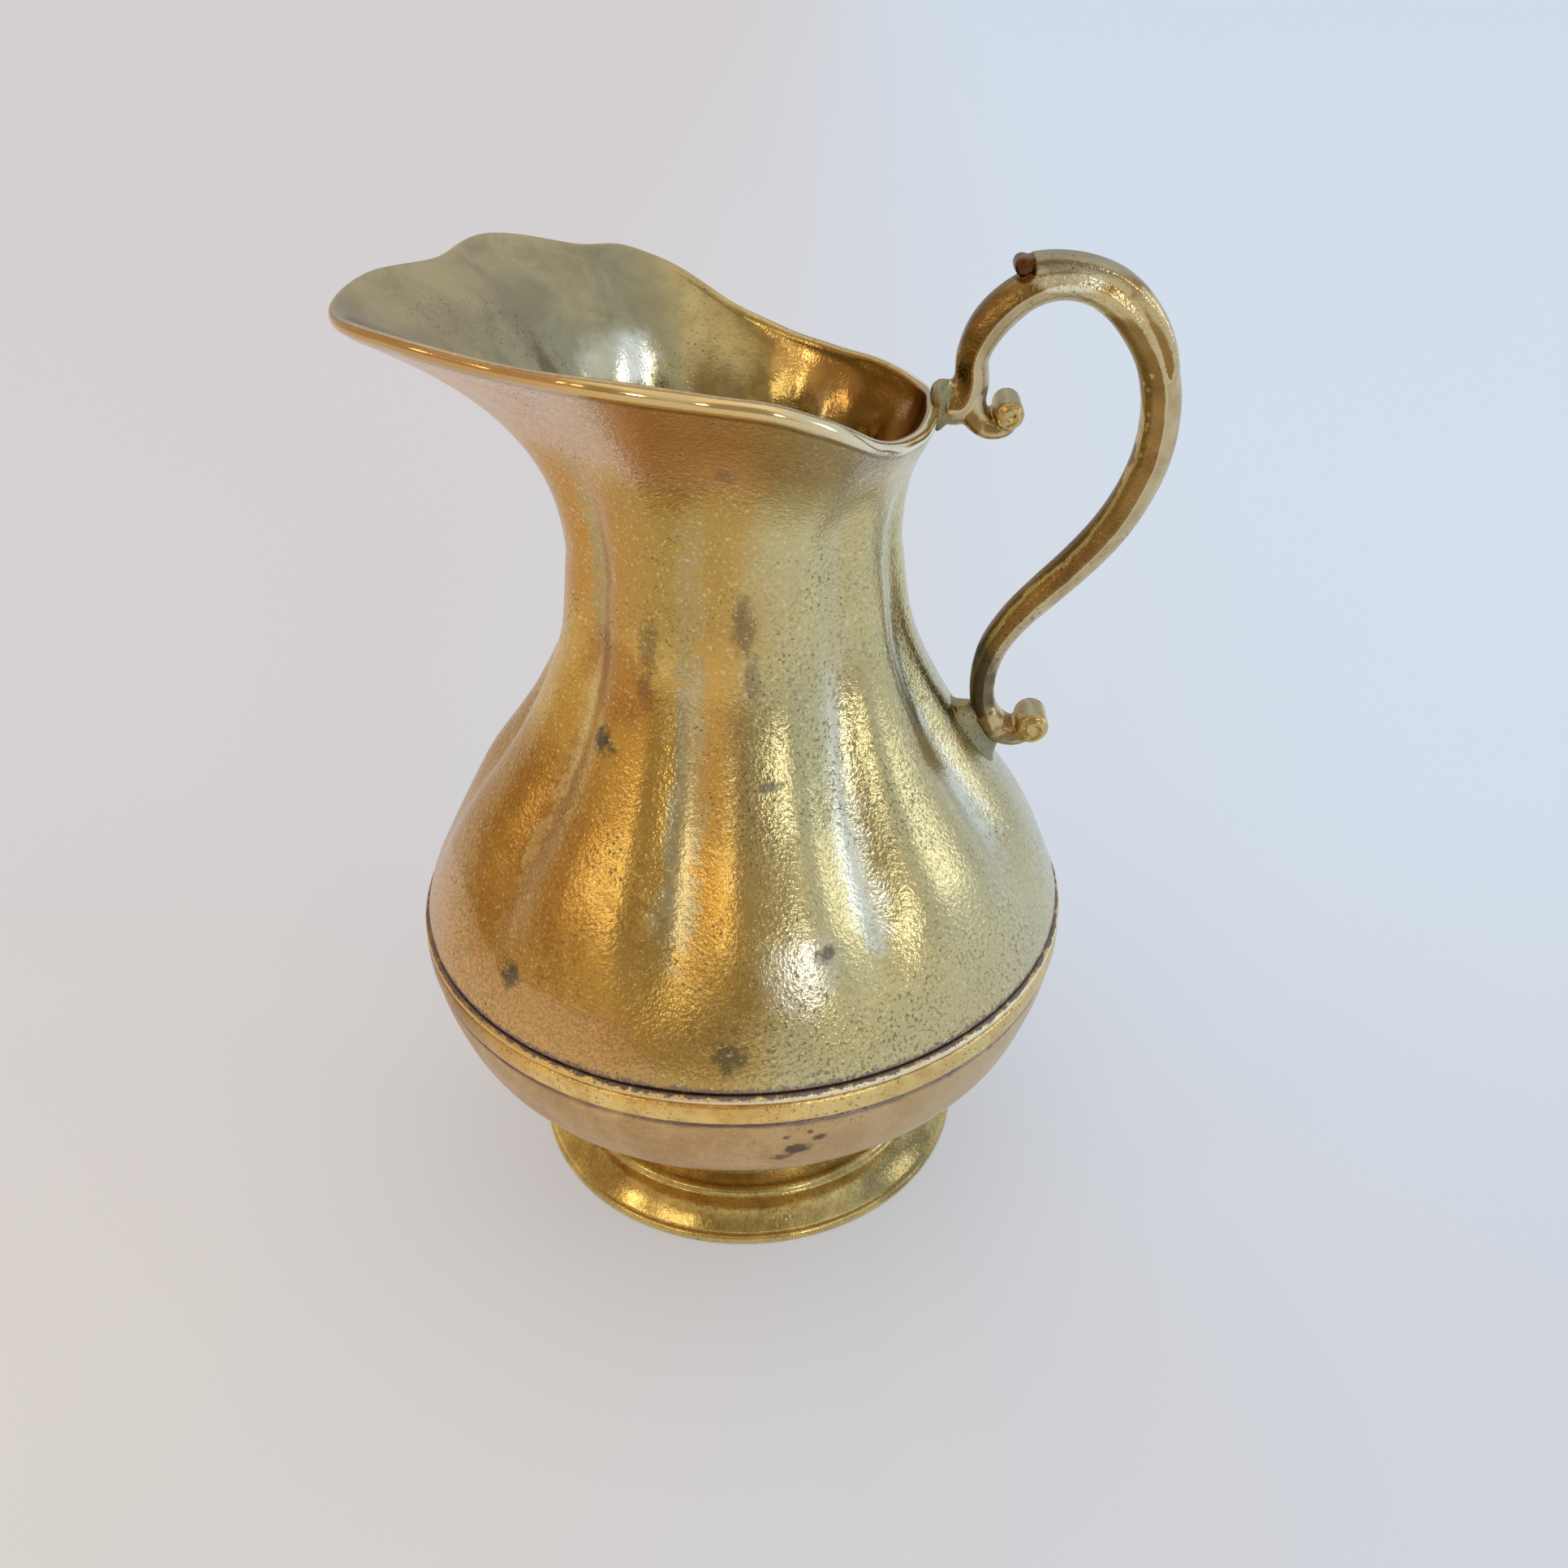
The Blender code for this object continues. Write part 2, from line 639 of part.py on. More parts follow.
def build_handle(material):
    """Cast scroll handle: main strand with stub, thumb tongue with its bulb, and two volutes."""
    handle = swept("handle", STRAND, (HANDLE_WIDTH, HANDLE_FOOT_WIDTH), per_span=2)
    handle.hide_render = False
    handle.display_type = "TEXTURED"
    handle.data.materials.append(material)
    pieces = [
        swept("tongue_shape", TONGUE, (HANDLE_WIDTH - 0.0005,) * 2, per_span=2, corner=0.40),
        swept("upper_arm_shape", UPPER_ARM, (HANDLE_WIDTH - 0.0007,) * 2, per_span=2),
        swept("lower_arm_shape", LOWER_ARM, (HANDLE_FOOT_WIDTH - 0.0003,) * 2, per_span=2),
        barrel("bulb_shape", BULB_CENTRE, BULB_RADIUS, HANDLE_WIDTH - 0.0024),
        barrel("upper_volute_shape", UPPER_VOLUTE_CENTRE, UPPER_VOLUTE_RADIUS, HANDLE_WIDTH + 0.0004),
        barrel("lower_volute_shape", LOWER_VOLUTE_CENTRE, LOWER_VOLUTE_RADIUS, HANDLE_FOOT_WIDTH + 0.0006),
    ]
    for piece in pieces:
        combine(handle, piece, "UNION")
    return handle


def block(name, centre, angle, size):
    """Box centred in the XZ plane and turned about Y, for trimming."""
    a = math.radians(angle)
    points = []
    for sx in (-1, 1):
        for sy in (-1, 1):
            for sz in (-1, 1):
                u = sx * size[0] / 2
                w = sz * size[2] / 2
                x = centre[0] + u * math.cos(a) - w * math.sin(a)
                z = centre[1] + u * math.sin(a) + w * math.cos(a)
                points.append((x, sy * size[1] / 2, z))
    faces = [(0, 1, 3, 2), (4, 6, 7, 5), (0, 4, 5, 1), (2, 3, 7, 6), (0, 2, 6, 4), (1, 5, 7, 3)]
    mesh = bpy.data.meshes.new(name)
    mesh.from_pydata(points, [], faces)
    return add_object(name, mesh, None, hidden=True)


def cushion(name, centre, angle, length, width, thickness, material, sides=28):
    """Flat oval plate with a chamfered edge, lying along a line in the XZ plane."""
    a = math.radians(angle)
    along = (math.cos(a), math.sin(a))
    up = (-math.sin(a), math.cos(a))
    rings = []
    for level, shrink in ((-0.5, 0.0), (0.10, 0.0), (0.5, 0.0012)):
        ring = []
        for j in range(sides):
            b = 2 * math.pi * j / sides
            c = math.cos(b)
            s = math.sin(b)
            u = math.copysign(abs(c) ** 0.7, c) * (length / 2 - shrink)
            y = math.copysign(abs(s) ** 0.7, s) * (width / 2 - shrink)
            h = level * thickness
            ring.append((centre[0] + u * along[0] + h * up[0], y, centre[1] + u * along[1] + h * up[1]))
        rings.append(ring)
    mesh = ring_mesh(name, rings, closed_rows=False)
    work = bmesh.new()
    work.from_mesh(mesh)
    work.verts.ensure_lookup_table()
    work.faces.new([work.verts[i] for i in range(sides)])
    work.faces.new([work.verts[len(work.verts) - 1 - i] for i in range(sides)])
    work.to_mesh(mesh)
    work.free()
    return add_object(name, mesh, material)


def build_joints(handle, envelope, material):
    """Brazed collar at the rim and brazed pad on the shoulder, each fitted to the body's surface."""
    middle = ((RIM_BRAZE_X[0] + RIM_BRAZE_X[1]) / 2, RIM_BRAZE_Z)
    depth = RIM_BRAZE_X[1] - RIM_BRAZE_X[0] - GAP
    collar = cushion(
        "rim_braze", (middle[0] - GAP / 2, middle[1]), -90.0,
        2 * RIM_BRAZE_RADII[1], 2 * RIM_BRAZE_RADII[0], depth, material,
    )
    combine(collar, envelope, "DIFFERENCE")
    pad = cushion(
        "shoulder_braze", PAD_CENTRE, PAD_ANGLE, PAD_LENGTH, PAD_WIDTH, PAD_THICKNESS, material,
    )
    combine(pad, envelope, "DIFFERENCE")
    a = math.radians(PAD_ANGLE)
    size = HANDLE_TRIM
    shift = size / 2 - PAD_THICKNESS / 2 - GAP
    centre = (PAD_CENTRE[0] + shift * math.sin(a), PAD_CENTRE[1] - shift * math.cos(a))
    trimmer = block("handle_foot_trim", centre, PAD_ANGLE, (2 * size, size, size))
    combine(handle, trimmer, "DIFFERENCE")


def centre_on_footprint():
    """Moves every object so that the origin is under the middle of the whole jug's footprint."""
    bpy.context.view_layer.update()
    graph = bpy.context.evaluated_depsgraph_get()
    corners = []
    for obj in bpy.data.objects:
        if not obj.hide_render:
            corners += [Vector(corner) for corner in obj.evaluated_get(graph).bound_box]
    middle_x = (min(c.x for c in corners) + max(c.x for c in corners)) / 2
    middle_y = (min(c.y for c in corners) + max(c.y for c in corners)) / 2
    for obj in bpy.data.objects:
        obj.location = (-middle_x, -middle_y, 0.0)


def main():
    for obj in list(bpy.data.objects):
        bpy.data.objects.remove(obj, do_unlink=True)
    body = brass("body_brass", (0.62, 0.42, 0.16), 0.34)
    polished = brass("polished_brass", (0.74, 0.52, 0.16), 0.20)
    bowl = brass("bowl_brass", (0.58, 0.40, 0.20), 0.36)
    cast = brass("handle_brass", (0.50, 0.34, 0.12), 0.32)
    braze = brass("braze_alloy", (0.46, 0.45, 0.30), 0.50)
    build_foot(polished)
    build_lower_bowl(bowl)
    build_girdle_band(polished)
    build_upper_body(body)
    envelope = build_body_envelope()
    handle = build_handle(cast)
    build_joints(handle, envelope, braze)
    centre_on_footprint()


main()
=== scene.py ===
"""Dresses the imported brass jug: finely formed pieces, old brass finishes, a pale floor and soft light.

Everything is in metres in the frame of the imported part. The jug's axis is upright at (AXIS_X, 0), the
handle lies in the XZ plane towards +X, and directions round the jug are degrees from +X.
"""

import math

import bpy
import numpy as np
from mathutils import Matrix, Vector


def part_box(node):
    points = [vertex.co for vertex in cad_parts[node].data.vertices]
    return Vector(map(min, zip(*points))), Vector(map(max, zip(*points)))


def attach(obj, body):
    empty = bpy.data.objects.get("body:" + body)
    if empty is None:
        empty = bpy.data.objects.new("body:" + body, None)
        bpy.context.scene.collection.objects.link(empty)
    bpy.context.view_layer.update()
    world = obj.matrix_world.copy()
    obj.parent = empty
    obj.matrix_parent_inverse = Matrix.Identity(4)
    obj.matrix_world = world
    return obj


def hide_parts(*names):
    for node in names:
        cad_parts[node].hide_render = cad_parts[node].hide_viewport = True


bl_info = {
    "name": "Old Brass Jug",
    "version": (1, 0, 0),
    "blender": (4, 5, 0),
    "location": "View3D > Sidebar > Jug",
    "description": "Builds a fluted brass jug with its scroll handle, finishes and stage",
    "category": "Object",
}

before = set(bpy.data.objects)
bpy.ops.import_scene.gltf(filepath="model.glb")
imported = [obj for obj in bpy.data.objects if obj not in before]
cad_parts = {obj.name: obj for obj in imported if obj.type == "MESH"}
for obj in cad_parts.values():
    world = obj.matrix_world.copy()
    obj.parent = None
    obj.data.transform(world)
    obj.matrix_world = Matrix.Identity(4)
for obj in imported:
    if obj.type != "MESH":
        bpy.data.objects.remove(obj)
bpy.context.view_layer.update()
FOOT_LOW, FOOT_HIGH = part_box("foot")
BAND_LOW, BAND_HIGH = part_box("girdle_band")

AXIS_X = (FOOT_LOW.x + FOOT_HIGH.x) / 2
BOWL_BOTTOM_Z = 0.0185
BAND_LOW_Z = 0.065
BAND_TOP_Z = 0.0732
SEAM_Z = 0.069
BAND_SEAT_RADIUS = 0.0757
NECK_Z = 0.165
LOBES = 9
GROOVE_START_Z = 0.077
GROOVE_FULL_Z = 0.105
SPOUT_ANGLE = -160.0

# Crest radius of the belly against height
BELLY = (
    (0.0341, 0.0596), (0.044, 0.0706), (0.055, 0.0756), (0.066, 0.0776), (0.0732, 0.0772),
    (0.0825, 0.0741), (0.099, 0.0662), (0.121, 0.0508), (0.143, 0.04), (NECK_Z, 0.0364),
)

# The mouth, by angle from the spout's middle: reach and height of the lip's middle, slope of the wall
# there, thickness of the lip
MOUTH = (
    (0.0, 0.0749, 0.2188, 30.0, 0.0026), (18.0, 0.0702, 0.2194, 32.0, 0.0028),
    (35.0, 0.0635, 0.2174, 36.0, 0.003), (53.0, 0.0642, 0.2178, 38.0, 0.0033),
    (71.0, 0.057, 0.2131, 44.0, 0.0036), (82.0, 0.0574, 0.2113, 46.0, 0.0037),
    (90.0, 0.0565, 0.208, 48.0, 0.0037), (108.0, 0.0492, 0.1986, 56.0, 0.0036),
    (125.0, 0.0437, 0.1946, 70.0, 0.0034), (142.0, 0.0422, 0.1932, 78.0, 0.0032),
    (161.0, 0.0415, 0.1931, 83.0, 0.003), (180.0, 0.0433, 0.1918, 80.0, 0.003),
)
VALLEYS_BELLY = (0.0, 20.0, 60.0, 100.0, 140.0, 180.0)
VALLEYS_NECK = (0.0, 21.0, 58.0, 108.0, 143.0, 180.0)
VALLEYS_RIM = (0.0, 35.0, 71.0, 108.0, 143.0, 180.0)

# Handle, as points (reach, height, thickness) of each member's middle line
STRAND = (
    (0.044, 0.1943, 0.0088), (0.0472, 0.1943, 0.0087), (0.049, 0.198, 0.0074), (0.0492, 0.204, 0.0066),
    (0.0515, 0.2095, 0.0074), (0.055, 0.2137, 0.0076), (0.06, 0.2172, 0.0073), (0.066, 0.2188, 0.0076),
    (0.0717, 0.218, 0.0078), (0.0773, 0.2148, 0.008), (0.082, 0.2095, 0.008), (0.0856, 0.2035, 0.008),
    (0.0876, 0.197, 0.0081), (0.0882, 0.19, 0.0081), (0.0874, 0.1825, 0.0081), (0.0849, 0.1748, 0.008),
    (0.0807, 0.1668, 0.008), (0.0746, 0.1589, 0.0078), (0.0681, 0.1519, 0.0075), (0.0619, 0.1449, 0.0068),
    (0.0576, 0.1375, 0.0062), (0.056, 0.13, 0.0056), (0.0564, 0.1235, 0.0056), (0.0585, 0.1185, 0.0062),
)
TONGUE = (
    (0.0574, 0.2216, 0.0038), (0.064, 0.2222, 0.004), (0.0705, 0.2214, 0.0042), (0.0768, 0.219, 0.0044),
    (0.0822, 0.2146, 0.0044), (0.0862, 0.209, 0.004), (0.0886, 0.2028, 0.0032), (0.0896, 0.197, 0.0024),
)
UPPER_ARM = (
    (0.0488, 0.1957, 0.0068), (0.0503, 0.1919, 0.0058), (0.0533, 0.1897, 0.0052),
    (0.0564, 0.1903, 0.0048), (0.0571, 0.1924, 0.0044),
)
LOWER_ARM = (
    (0.0566, 0.1218, 0.006), (0.0595, 0.1176, 0.0066), (0.064, 0.116, 0.0056), (0.0674, 0.1172, 0.0048),
)
# Quarter of the strand's section, as shares of its half thickness and half width, and the rim of a
# volute's drum, as (share of its radius, how far its end stands out)
RIDGED_QUARTER = ((0.05, 1.0), (0.56, 0.8), (0.86, 0.54), (1.0, 0.22))
EYE_RIM = ((0.02, 0.0001), (0.55, 0.00004), (0.8, -0.0001), (0.94, -0.00045), (1.0, -0.0011))
BULB_CENTRE = (0.0577, 0.2218)
UPPER_VOLUTE_CENTRE = (0.057, 0.1929)
LOWER_VOLUTE_CENTRE = (0.0678, 0.1187)
PAD_MIDDLE_Z = 0.1163
PAD_ANGLE = -53.0

SEAM_HALF_GAP = 0.00015
BAND_GAP = 0.0003
POLE_RADIUS = 0.0002

# Foot: (inset from its rim, height) along each moulding, and how many points are drawn along it
FOOT_MOULDINGS = (
    (14, ((0.0008, 0.0), (0.0002, 0.0003), (0.0, 0.001), (0.0, 0.0018), (0.0003, 0.0024), (0.0009, 0.0027))),
    (18, ((0.0013, 0.0028), (0.0022, 0.0037), (0.0038, 0.0053), (0.0062, 0.0071), (0.0082, 0.008))),
    (12, ((0.0084, 0.0083), (0.0086, 0.009), (0.0094, 0.0097), (0.0106, 0.0101))),
    (
        34,
        (
            (0.0112, 0.0104), (0.013, 0.0118), (0.0145, 0.014), (0.015, 0.0165), (0.0147, 0.0188),
            (0.0136, 0.021), (0.0125, 0.0225), (0.0125, 0.0233),
        ),
    ),
    (
        30,
        (
            (0.0157, 0.0226), (0.0182, 0.0165), (0.017, 0.012), (0.014, 0.0088), (0.011, 0.0062),
            (0.006, 0.0034), (0.0044, 0.001), (0.0041, 0.0),
        ),
    ),
)

# Girdle band: (inset from its reach, 0 for its lower or 1 for its upper edge, height from that edge)
BAND_CROWN = (
    (0.0009, 0, 0.0), (0.0004, 0, 0.0004), (0.0001, 0, 0.0011), (0.0, 0, 0.0026), (0.0001, 1, -0.0034),
    (0.0003, 1, -0.0027), (0.0006, 1, -0.0023), (0.0004, 1, -0.0018), (0.0001, 1, -0.0011),
    (0.0003, 1, -0.0004), (0.001, 1, 0.0),
)

# Braze collar: (reach, half width, half height, height) of each station
COLLAR = (
    (0.0411, 0.003, 0.0026, 0.1934), (0.0417, 0.0048, 0.0042, 0.1935), (0.0426, 0.0053, 0.0048, 0.1937),
    (0.0434, 0.005, 0.0046, 0.1939), (0.0442, 0.0046, 0.0043, 0.1941), (0.045, 0.0044, 0.0042, 0.1943),
    (0.0456, 0.0042, 0.004, 0.1943), (0.0459, 0.003, 0.0028, 0.1943),
)

# Spots: (middle, radii, strength)
BODY_SPOTS = (
    ((-0.0337, -0.0349, 0.1336), (0.003, 0.004, 0.004), 0.85),
    ((-0.0309, -0.0359, 0.1322), (0.0022, 0.003, 0.0022), 0.75),
    ((-0.0543, -0.0548, 0.086), (0.0042, 0.0042, 0.0036), 0.8),
    ((0.0138, -0.0621, 0.0993), (0.003, 0.0034, 0.0024), 0.8),
    ((-0.0055, -0.0741, 0.0812), (0.0046, 0.0036, 0.0052), 0.7),
    ((-0.0042, -0.0735, 0.0878), (0.0018, 0.0024, 0.0026), 0.6),
    ((0.002, -0.0454, 0.1291), (0.0034, 0.003, 0.0013), 0.7),
    ((-0.0224, -0.0345, 0.156), (0.003, 0.0034, 0.009), 0.45),
    ((-0.0235, -0.0355, 0.1462), (0.0024, 0.0034, 0.006), 0.4),
    ((-0.003, -0.0365, 0.161), (0.0034, 0.0034, 0.008), 0.5),
    ((-0.0014, -0.0377, 0.15), (0.0026, 0.0034, 0.006), 0.45),
    ((-0.0427, 0.0287, 0.2028), (0.002, 0.003, 0.0016), 0.7),
    ((-0.04, 0.0287, 0.1995), (0.0014, 0.003, 0.0014), 0.65),
    ((-0.005, -0.0431, 0.1948), (0.003, 0.003, 0.0026), 0.35),
)
BODY_RING_MARKS = (((-0.0243, -0.0588, 0.1037), 0.0042), ((-0.0105, -0.0717, 0.087), 0.0034))
BOWL_SPOTS = (
    ((0.0083, -0.0739, 0.0549), (0.004, 0.003, 0.003), 0.85),
    ((0.013, -0.0738, 0.0586), (0.0024, 0.003, 0.0014), 0.75),
    ((0.0042, -0.0726, 0.052), (0.003, 0.003, 0.0018), 0.75),
    ((0.006, -0.0745, 0.06), (0.0012, 0.003, 0.0012), 0.7),
    ((0.011, -0.0743, 0.0612), (0.001, 0.003, 0.0011), 0.7),
)
HANDLE_GREENS = (
    ((0.05, 0.0, 0.1965), (0.005, 0.008, 0.003), 0.55),
    ((0.0445, 0.0, 0.196), (0.002, 0.008, 0.006), 0.35),
    ((0.0385, 0.0, 0.19), (0.003, 0.008, 0.003), 0.4), ((0.052, 0.0, 0.115), (0.009, 0.008, 0.003), 0.6),
    ((0.06, 0.0, 0.1225), (0.0045, 0.008, 0.0016), 0.6),
)

# World light by direction: (towards, where it begins, where it is full, colour), each over the last
SKY_GROUND = (0.56, 0.54, 0.52)
SKY = (
    ((0.0, 0.0, 1.0), 0.1, 0.85, (0.98, 0.98, 0.98)), ((-0.1, -0.95, 0.2), 0.45, 0.9, (0.38, 0.33, 0.27)),
    ((-0.9, -0.2, 0.2), 0.4, 0.9, (0.58, 0.44, 0.3)), ((0.95, 0.15, 0.1), 0.4, 0.9, (0.66, 0.74, 0.84)),
)
LAMP_TARGET = (0.0, 0.0, 0.1)
LAMPS = (
    ("window", (2.44, -0.1, 0.95), (0.6, 0.95), 3.6, (0.95, 0.98, 1.0)),
    ("front", (1.17, -2.03, 0.9), (0.44, 0.44), 3.9, (0.97, 1.0, 0.98)),
    ("warm", (-1.3, -1.79, 1.4), (0.7, 0.6), 2.45, (1.0, 0.93, 0.76)),
    ("warm_left", (-1.8, -1.04, 1.25), (0.35, 0.5), 1.5, (1.0, 0.9, 0.72)),
)


class JugSizes(bpy.types.PropertyGroup):
    wall: bpy.props.FloatProperty(
        name="Wall", description="Thickness of the cast shell", default=0.003, unit="LENGTH"
    )
    flute_depth: bpy.props.FloatProperty(
        name="Flute depth", description="Depth of the flutes on the belly", default=0.0047, unit="LENGTH"
    )
    neck_flute_depth: bpy.props.FloatProperty(
        name="Neck flute depth", description="Depth of the flutes at the neck", default=0.0027, unit="LENGTH"
    )
    band_radius: bpy.props.FloatProperty(
        name="Band radius",
        description="Reach of the girdle band",
        default=(BAND_HIGH.y - BAND_LOW.y) / 2,
        unit="LENGTH",
    )
    foot_radius: bpy.props.FloatProperty(
        name="Foot radius",
        description="Reach of the foot's rim",
        default=(FOOT_HIGH.y - FOOT_LOW.y) / 2,
        unit="LENGTH",
    )
    handle_width: bpy.props.FloatProperty(
        name="Handle width", description="Width of the bar near the rim", default=0.0098, unit="LENGTH"
    )
    handle_foot_width: bpy.props.FloatProperty(
        name="Handle foot width", description="Width of the bar at its foot", default=0.0086, unit="LENGTH"
    )
    waviness: bpy.props.FloatProperty(
        name="Waviness", description="How far the cast walls stray from true", default=0.00014, unit="LENGTH"
    )


class JugColours(bpy.types.PropertyGroup):
    orange: bpy.props.FloatVectorProperty(
        name="Orange brass", description="Warm, darker tarnish", subtype="COLOR", default=(0.68, 0.415, 0.095)
    )
    golden: bpy.props.FloatVectorProperty(
        name="Golden brass", description="Cleaner yellow brass", subtype="COLOR", default=(0.76, 0.5, 0.13)
    )
    straw: bpy.props.FloatVectorProperty(
        name="Straw brass", description="Light yellow brass", subtype="COLOR", default=(0.68, 0.55, 0.235)
    )
    pale: bpy.props.FloatVectorProperty(
        name="Pale brass", description="Dulled greenish brass", subtype="COLOR", default=(0.61, 0.53, 0.245)
    )
    bright: bpy.props.FloatVectorProperty(
        name="Polished brass", description="Rubbed edges", subtype="COLOR", default=(0.9, 0.7, 0.28)
    )
    grime: bpy.props.FloatVectorProperty(
        name="Grime", description="Dirt in the grooves", subtype="COLOR", default=(0.195, 0.145, 0.15)
    )
    verdigris: bpy.props.FloatVectorProperty(
        name="Verdigris", description="Blue green corrosion", subtype="COLOR", default=(0.3, 0.37, 0.29)
    )


# ---- Curves and grids


def smooth_through(points, at):
    """Cubic curve through points (x, value) that never overshoots, at each value of the array at."""
    xs = np.array([p[0] for p in points], float)
    ys = np.array([p[1] for p in points], float)
    steps = np.diff(xs)
    rise = np.diff(ys) / steps
    slope = np.zeros(len(xs))
    slope[1:-1] = (rise[:-1] * steps[1:] + rise[1:] * steps[:-1]) / (steps[1:] + steps[:-1])
    slope[0] = rise[0]
    slope[-1] = rise[-1]
    at = np.clip(np.asarray(at, float), xs[0], xs[-1])
    k = np.clip(np.searchsorted(xs, at, side="right") - 1, 0, len(xs) - 2)
    h = steps[k]
    t = (at - xs[k]) / h
    a = (1 + 2 * t) * (1 - t) ** 2
    b = t * (1 - t) ** 2
    c = t * t * (3 - 2 * t)
    d = t * t * (t - 1)
    return a * ys[k] + b * h * slope[k] + c * ys[k + 1] + d * h * slope[k + 1]


def ease(t):
    """0 to 1 with level ends: three times the square less twice the cube."""
    t = np.clip(t, 0.0, 1.0)
    return t * t * (3 - 2 * t)


def drawn_line(points, count):
    """Points of a smooth line through the given rows, evenly spaced along the chords between them."""
    rows = np.array(points, float)
    chord = np.concatenate([[0], np.cumsum(np.linalg.norm(np.diff(rows[:, :2], axis=0), axis=1))])
    at = np.linspace(0, chord[-1], count)
    return np.stack([smooth_through(list(zip(chord, rows[:, k])), at) for k in range(rows.shape[1])], 1)


def grid_normals(points, wrap_rows):
    """Unit normals of a grid of points whose columns wrap round, from the cross product of its slopes."""
    across = np.roll(points, -1, 1) - np.roll(points, 1, 1)
    if wrap_rows:
        along = np.roll(points, -1, 0) - np.roll(points, 1, 0)
    else:
        along = np.gradient(points, axis=0)
    normal = np.cross(across, along)
    length = np.linalg.norm(normal, axis=2, keepdims=True)
    return normal / np.maximum(length, 1e-12)


def grid_faces(rows, columns, wrap_rows):
    """Quads of a grid whose columns wrap round, and whose rows do where wrap_rows says so."""
    last = rows if wrap_rows else rows - 1
    i, j = np.meshgrid(np.arange(last), np.arange(columns), indexing="ij")
    k = (i + 1) % rows
    n = (j + 1) % columns
    return np.stack([i * columns + j, i * columns + n, k * columns + n, k * columns + j], -1).reshape(-1, 4)


def signed_volume(points, faces):
    """Six times the volume inside quads, from the triple products of their two triangles."""
    corners = points[faces]
    volume = 0.0
    for a, b in ((1, 2), (2, 3)):
        volume += np.einsum("ij,ij->i", corners[:, 0], np.cross(corners[:, a], corners[:, b])).sum()
    return volume


def closed_tube(rows):
    """Points, quads and two end caps of a tube, given as rows of points round it."""
    count, around = rows.shape[:2]
    caps = [list(range(around))[::-1], [(count - 1) * around + j for j in range(around)]]
    return rows.reshape(-1, 3), grid_faces(count, around, False), caps


def full_turn(count):
    """Evenly spaced angles round a circle, in radians."""
    return 2 * np.pi * np.arange(count) / count


def signed_power(values, power):
    """Each value's size raised to the power, with its own sign: bends a circle to a superellipse."""
    return np.sign(values) * np.abs(values) ** power


def mesh_piece(name, points, faces, caps=()):
    """Mesh object from arrays of points and quads, with extra cap faces, its faces turned outwards."""
    if signed_volume(points, faces) < 0:
        faces = faces[:, ::-1]
        caps = [list(reversed(cap)) for cap in caps]
    mesh = bpy.data.meshes.new(name)
    mesh.from_pydata(points.tolist(), [], faces.tolist() + [list(cap) for cap in caps])
    mesh.polygons.foreach_set("use_smooth", [True] * len(mesh.polygons))
    mesh.update()
    piece = bpy.data.objects.new(name, mesh)
    bpy.context.scene.collection.objects.link(piece)
    return piece


def round_points(reach, height, theta):
    """Points at the given reach from the jug's axis, height and direction in degrees, as one array."""
    a = np.radians(theta)
    return np.stack([AXIS_X + reach * np.cos(a), reach * np.sin(a), height + 0 * a], -1)


def hand_waviness(points, amount):
    """Slow wander of a cast and hand-finished wall: a sum of five sine waves 20 to 60 mm long."""
    x, y, z = points[..., 0], points[..., 1], points[..., 2]
    wave = np.sin(118 * x + 71 * z + 0.7) + np.sin(133 * y - 96 * z + 2.1)
    wave += 0.8 * np.sin(171 * (x + y) + 52 * z + 4.0) + 0.7 * np.sin(245 * (x - y) - 130 * z + 1.3)
    wave += 0.5 * np.sin(310 * z + 205 * x - 160 * y + 5.2)
    return amount * wave / 4.0


def turned_piece(name, profile, columns, waviness, caps_on_axis=False):
    """Solid of revolution: a profile of (reach, height) carried round the axis, each point moved along
    its normal by the wall's wander. Its last rows close on the first, or end in caps on the axis."""
    theta = np.arange(columns) * 360.0 / columns
    points = round_points(profile[:, 0:1], profile[:, 1:2], theta[None, :])
    normals = grid_normals(points, not caps_on_axis)
    points = points + normals * hand_waviness(points, waviness)[..., None]
    if caps_on_axis:
        return mesh_piece(name, *closed_tube(points))
    return mesh_piece(name, points.reshape(-1, 3), grid_faces(len(profile), columns, True))


# ---- The shell's shape


def from_spout(theta):
    """Directions round the jug, as degrees to either side of the spout's middle."""
    return (theta - SPOUT_ANGLE + 180.0) % 360.0 - 180.0


def belly_radius(z):
    """Reach of the crests at a height, along the smooth outline of the belly."""
    return smooth_through(BELLY, z)


def whole_mouth(column, angle):
    """One column of MOUTH over the whole turn, mirrored about the spout's middle."""
    near = [(p[0], p[column]) for p in MOUTH]
    left = [(-a, v) for a, v in reversed(near[1:])]
    ends = ([(near[-2][0] - 360.0, near[-2][1])], [(360.0 - near[-2][0], near[-2][1])])
    return smooth_through(ends[0] + left + near + ends[1], angle)


def flute_share(side, level):
    """How deep in a flute a direction lies, 0 on a crest to 1 in a valley: half a cosine wave over the
    valleys' own spacing, sharpened. Level runs 0 at the belly, 1 at the neck, 2 at the rim."""
    low, mid, top = (np.array(v) for v in (VALLEYS_BELLY, VALLEYS_NECK, VALLEYS_RIM))
    places = low + (mid - low) * level if level <= 1 else mid + (top - mid) * (level - 1)
    phase = np.interp(side, places, VALLEYS_BELLY)
    wave = 0.5 - 0.5 * np.cos(np.radians(LOBES * phase))
    return wave ** (2.2 - 0.5 * min(level, 1.0))


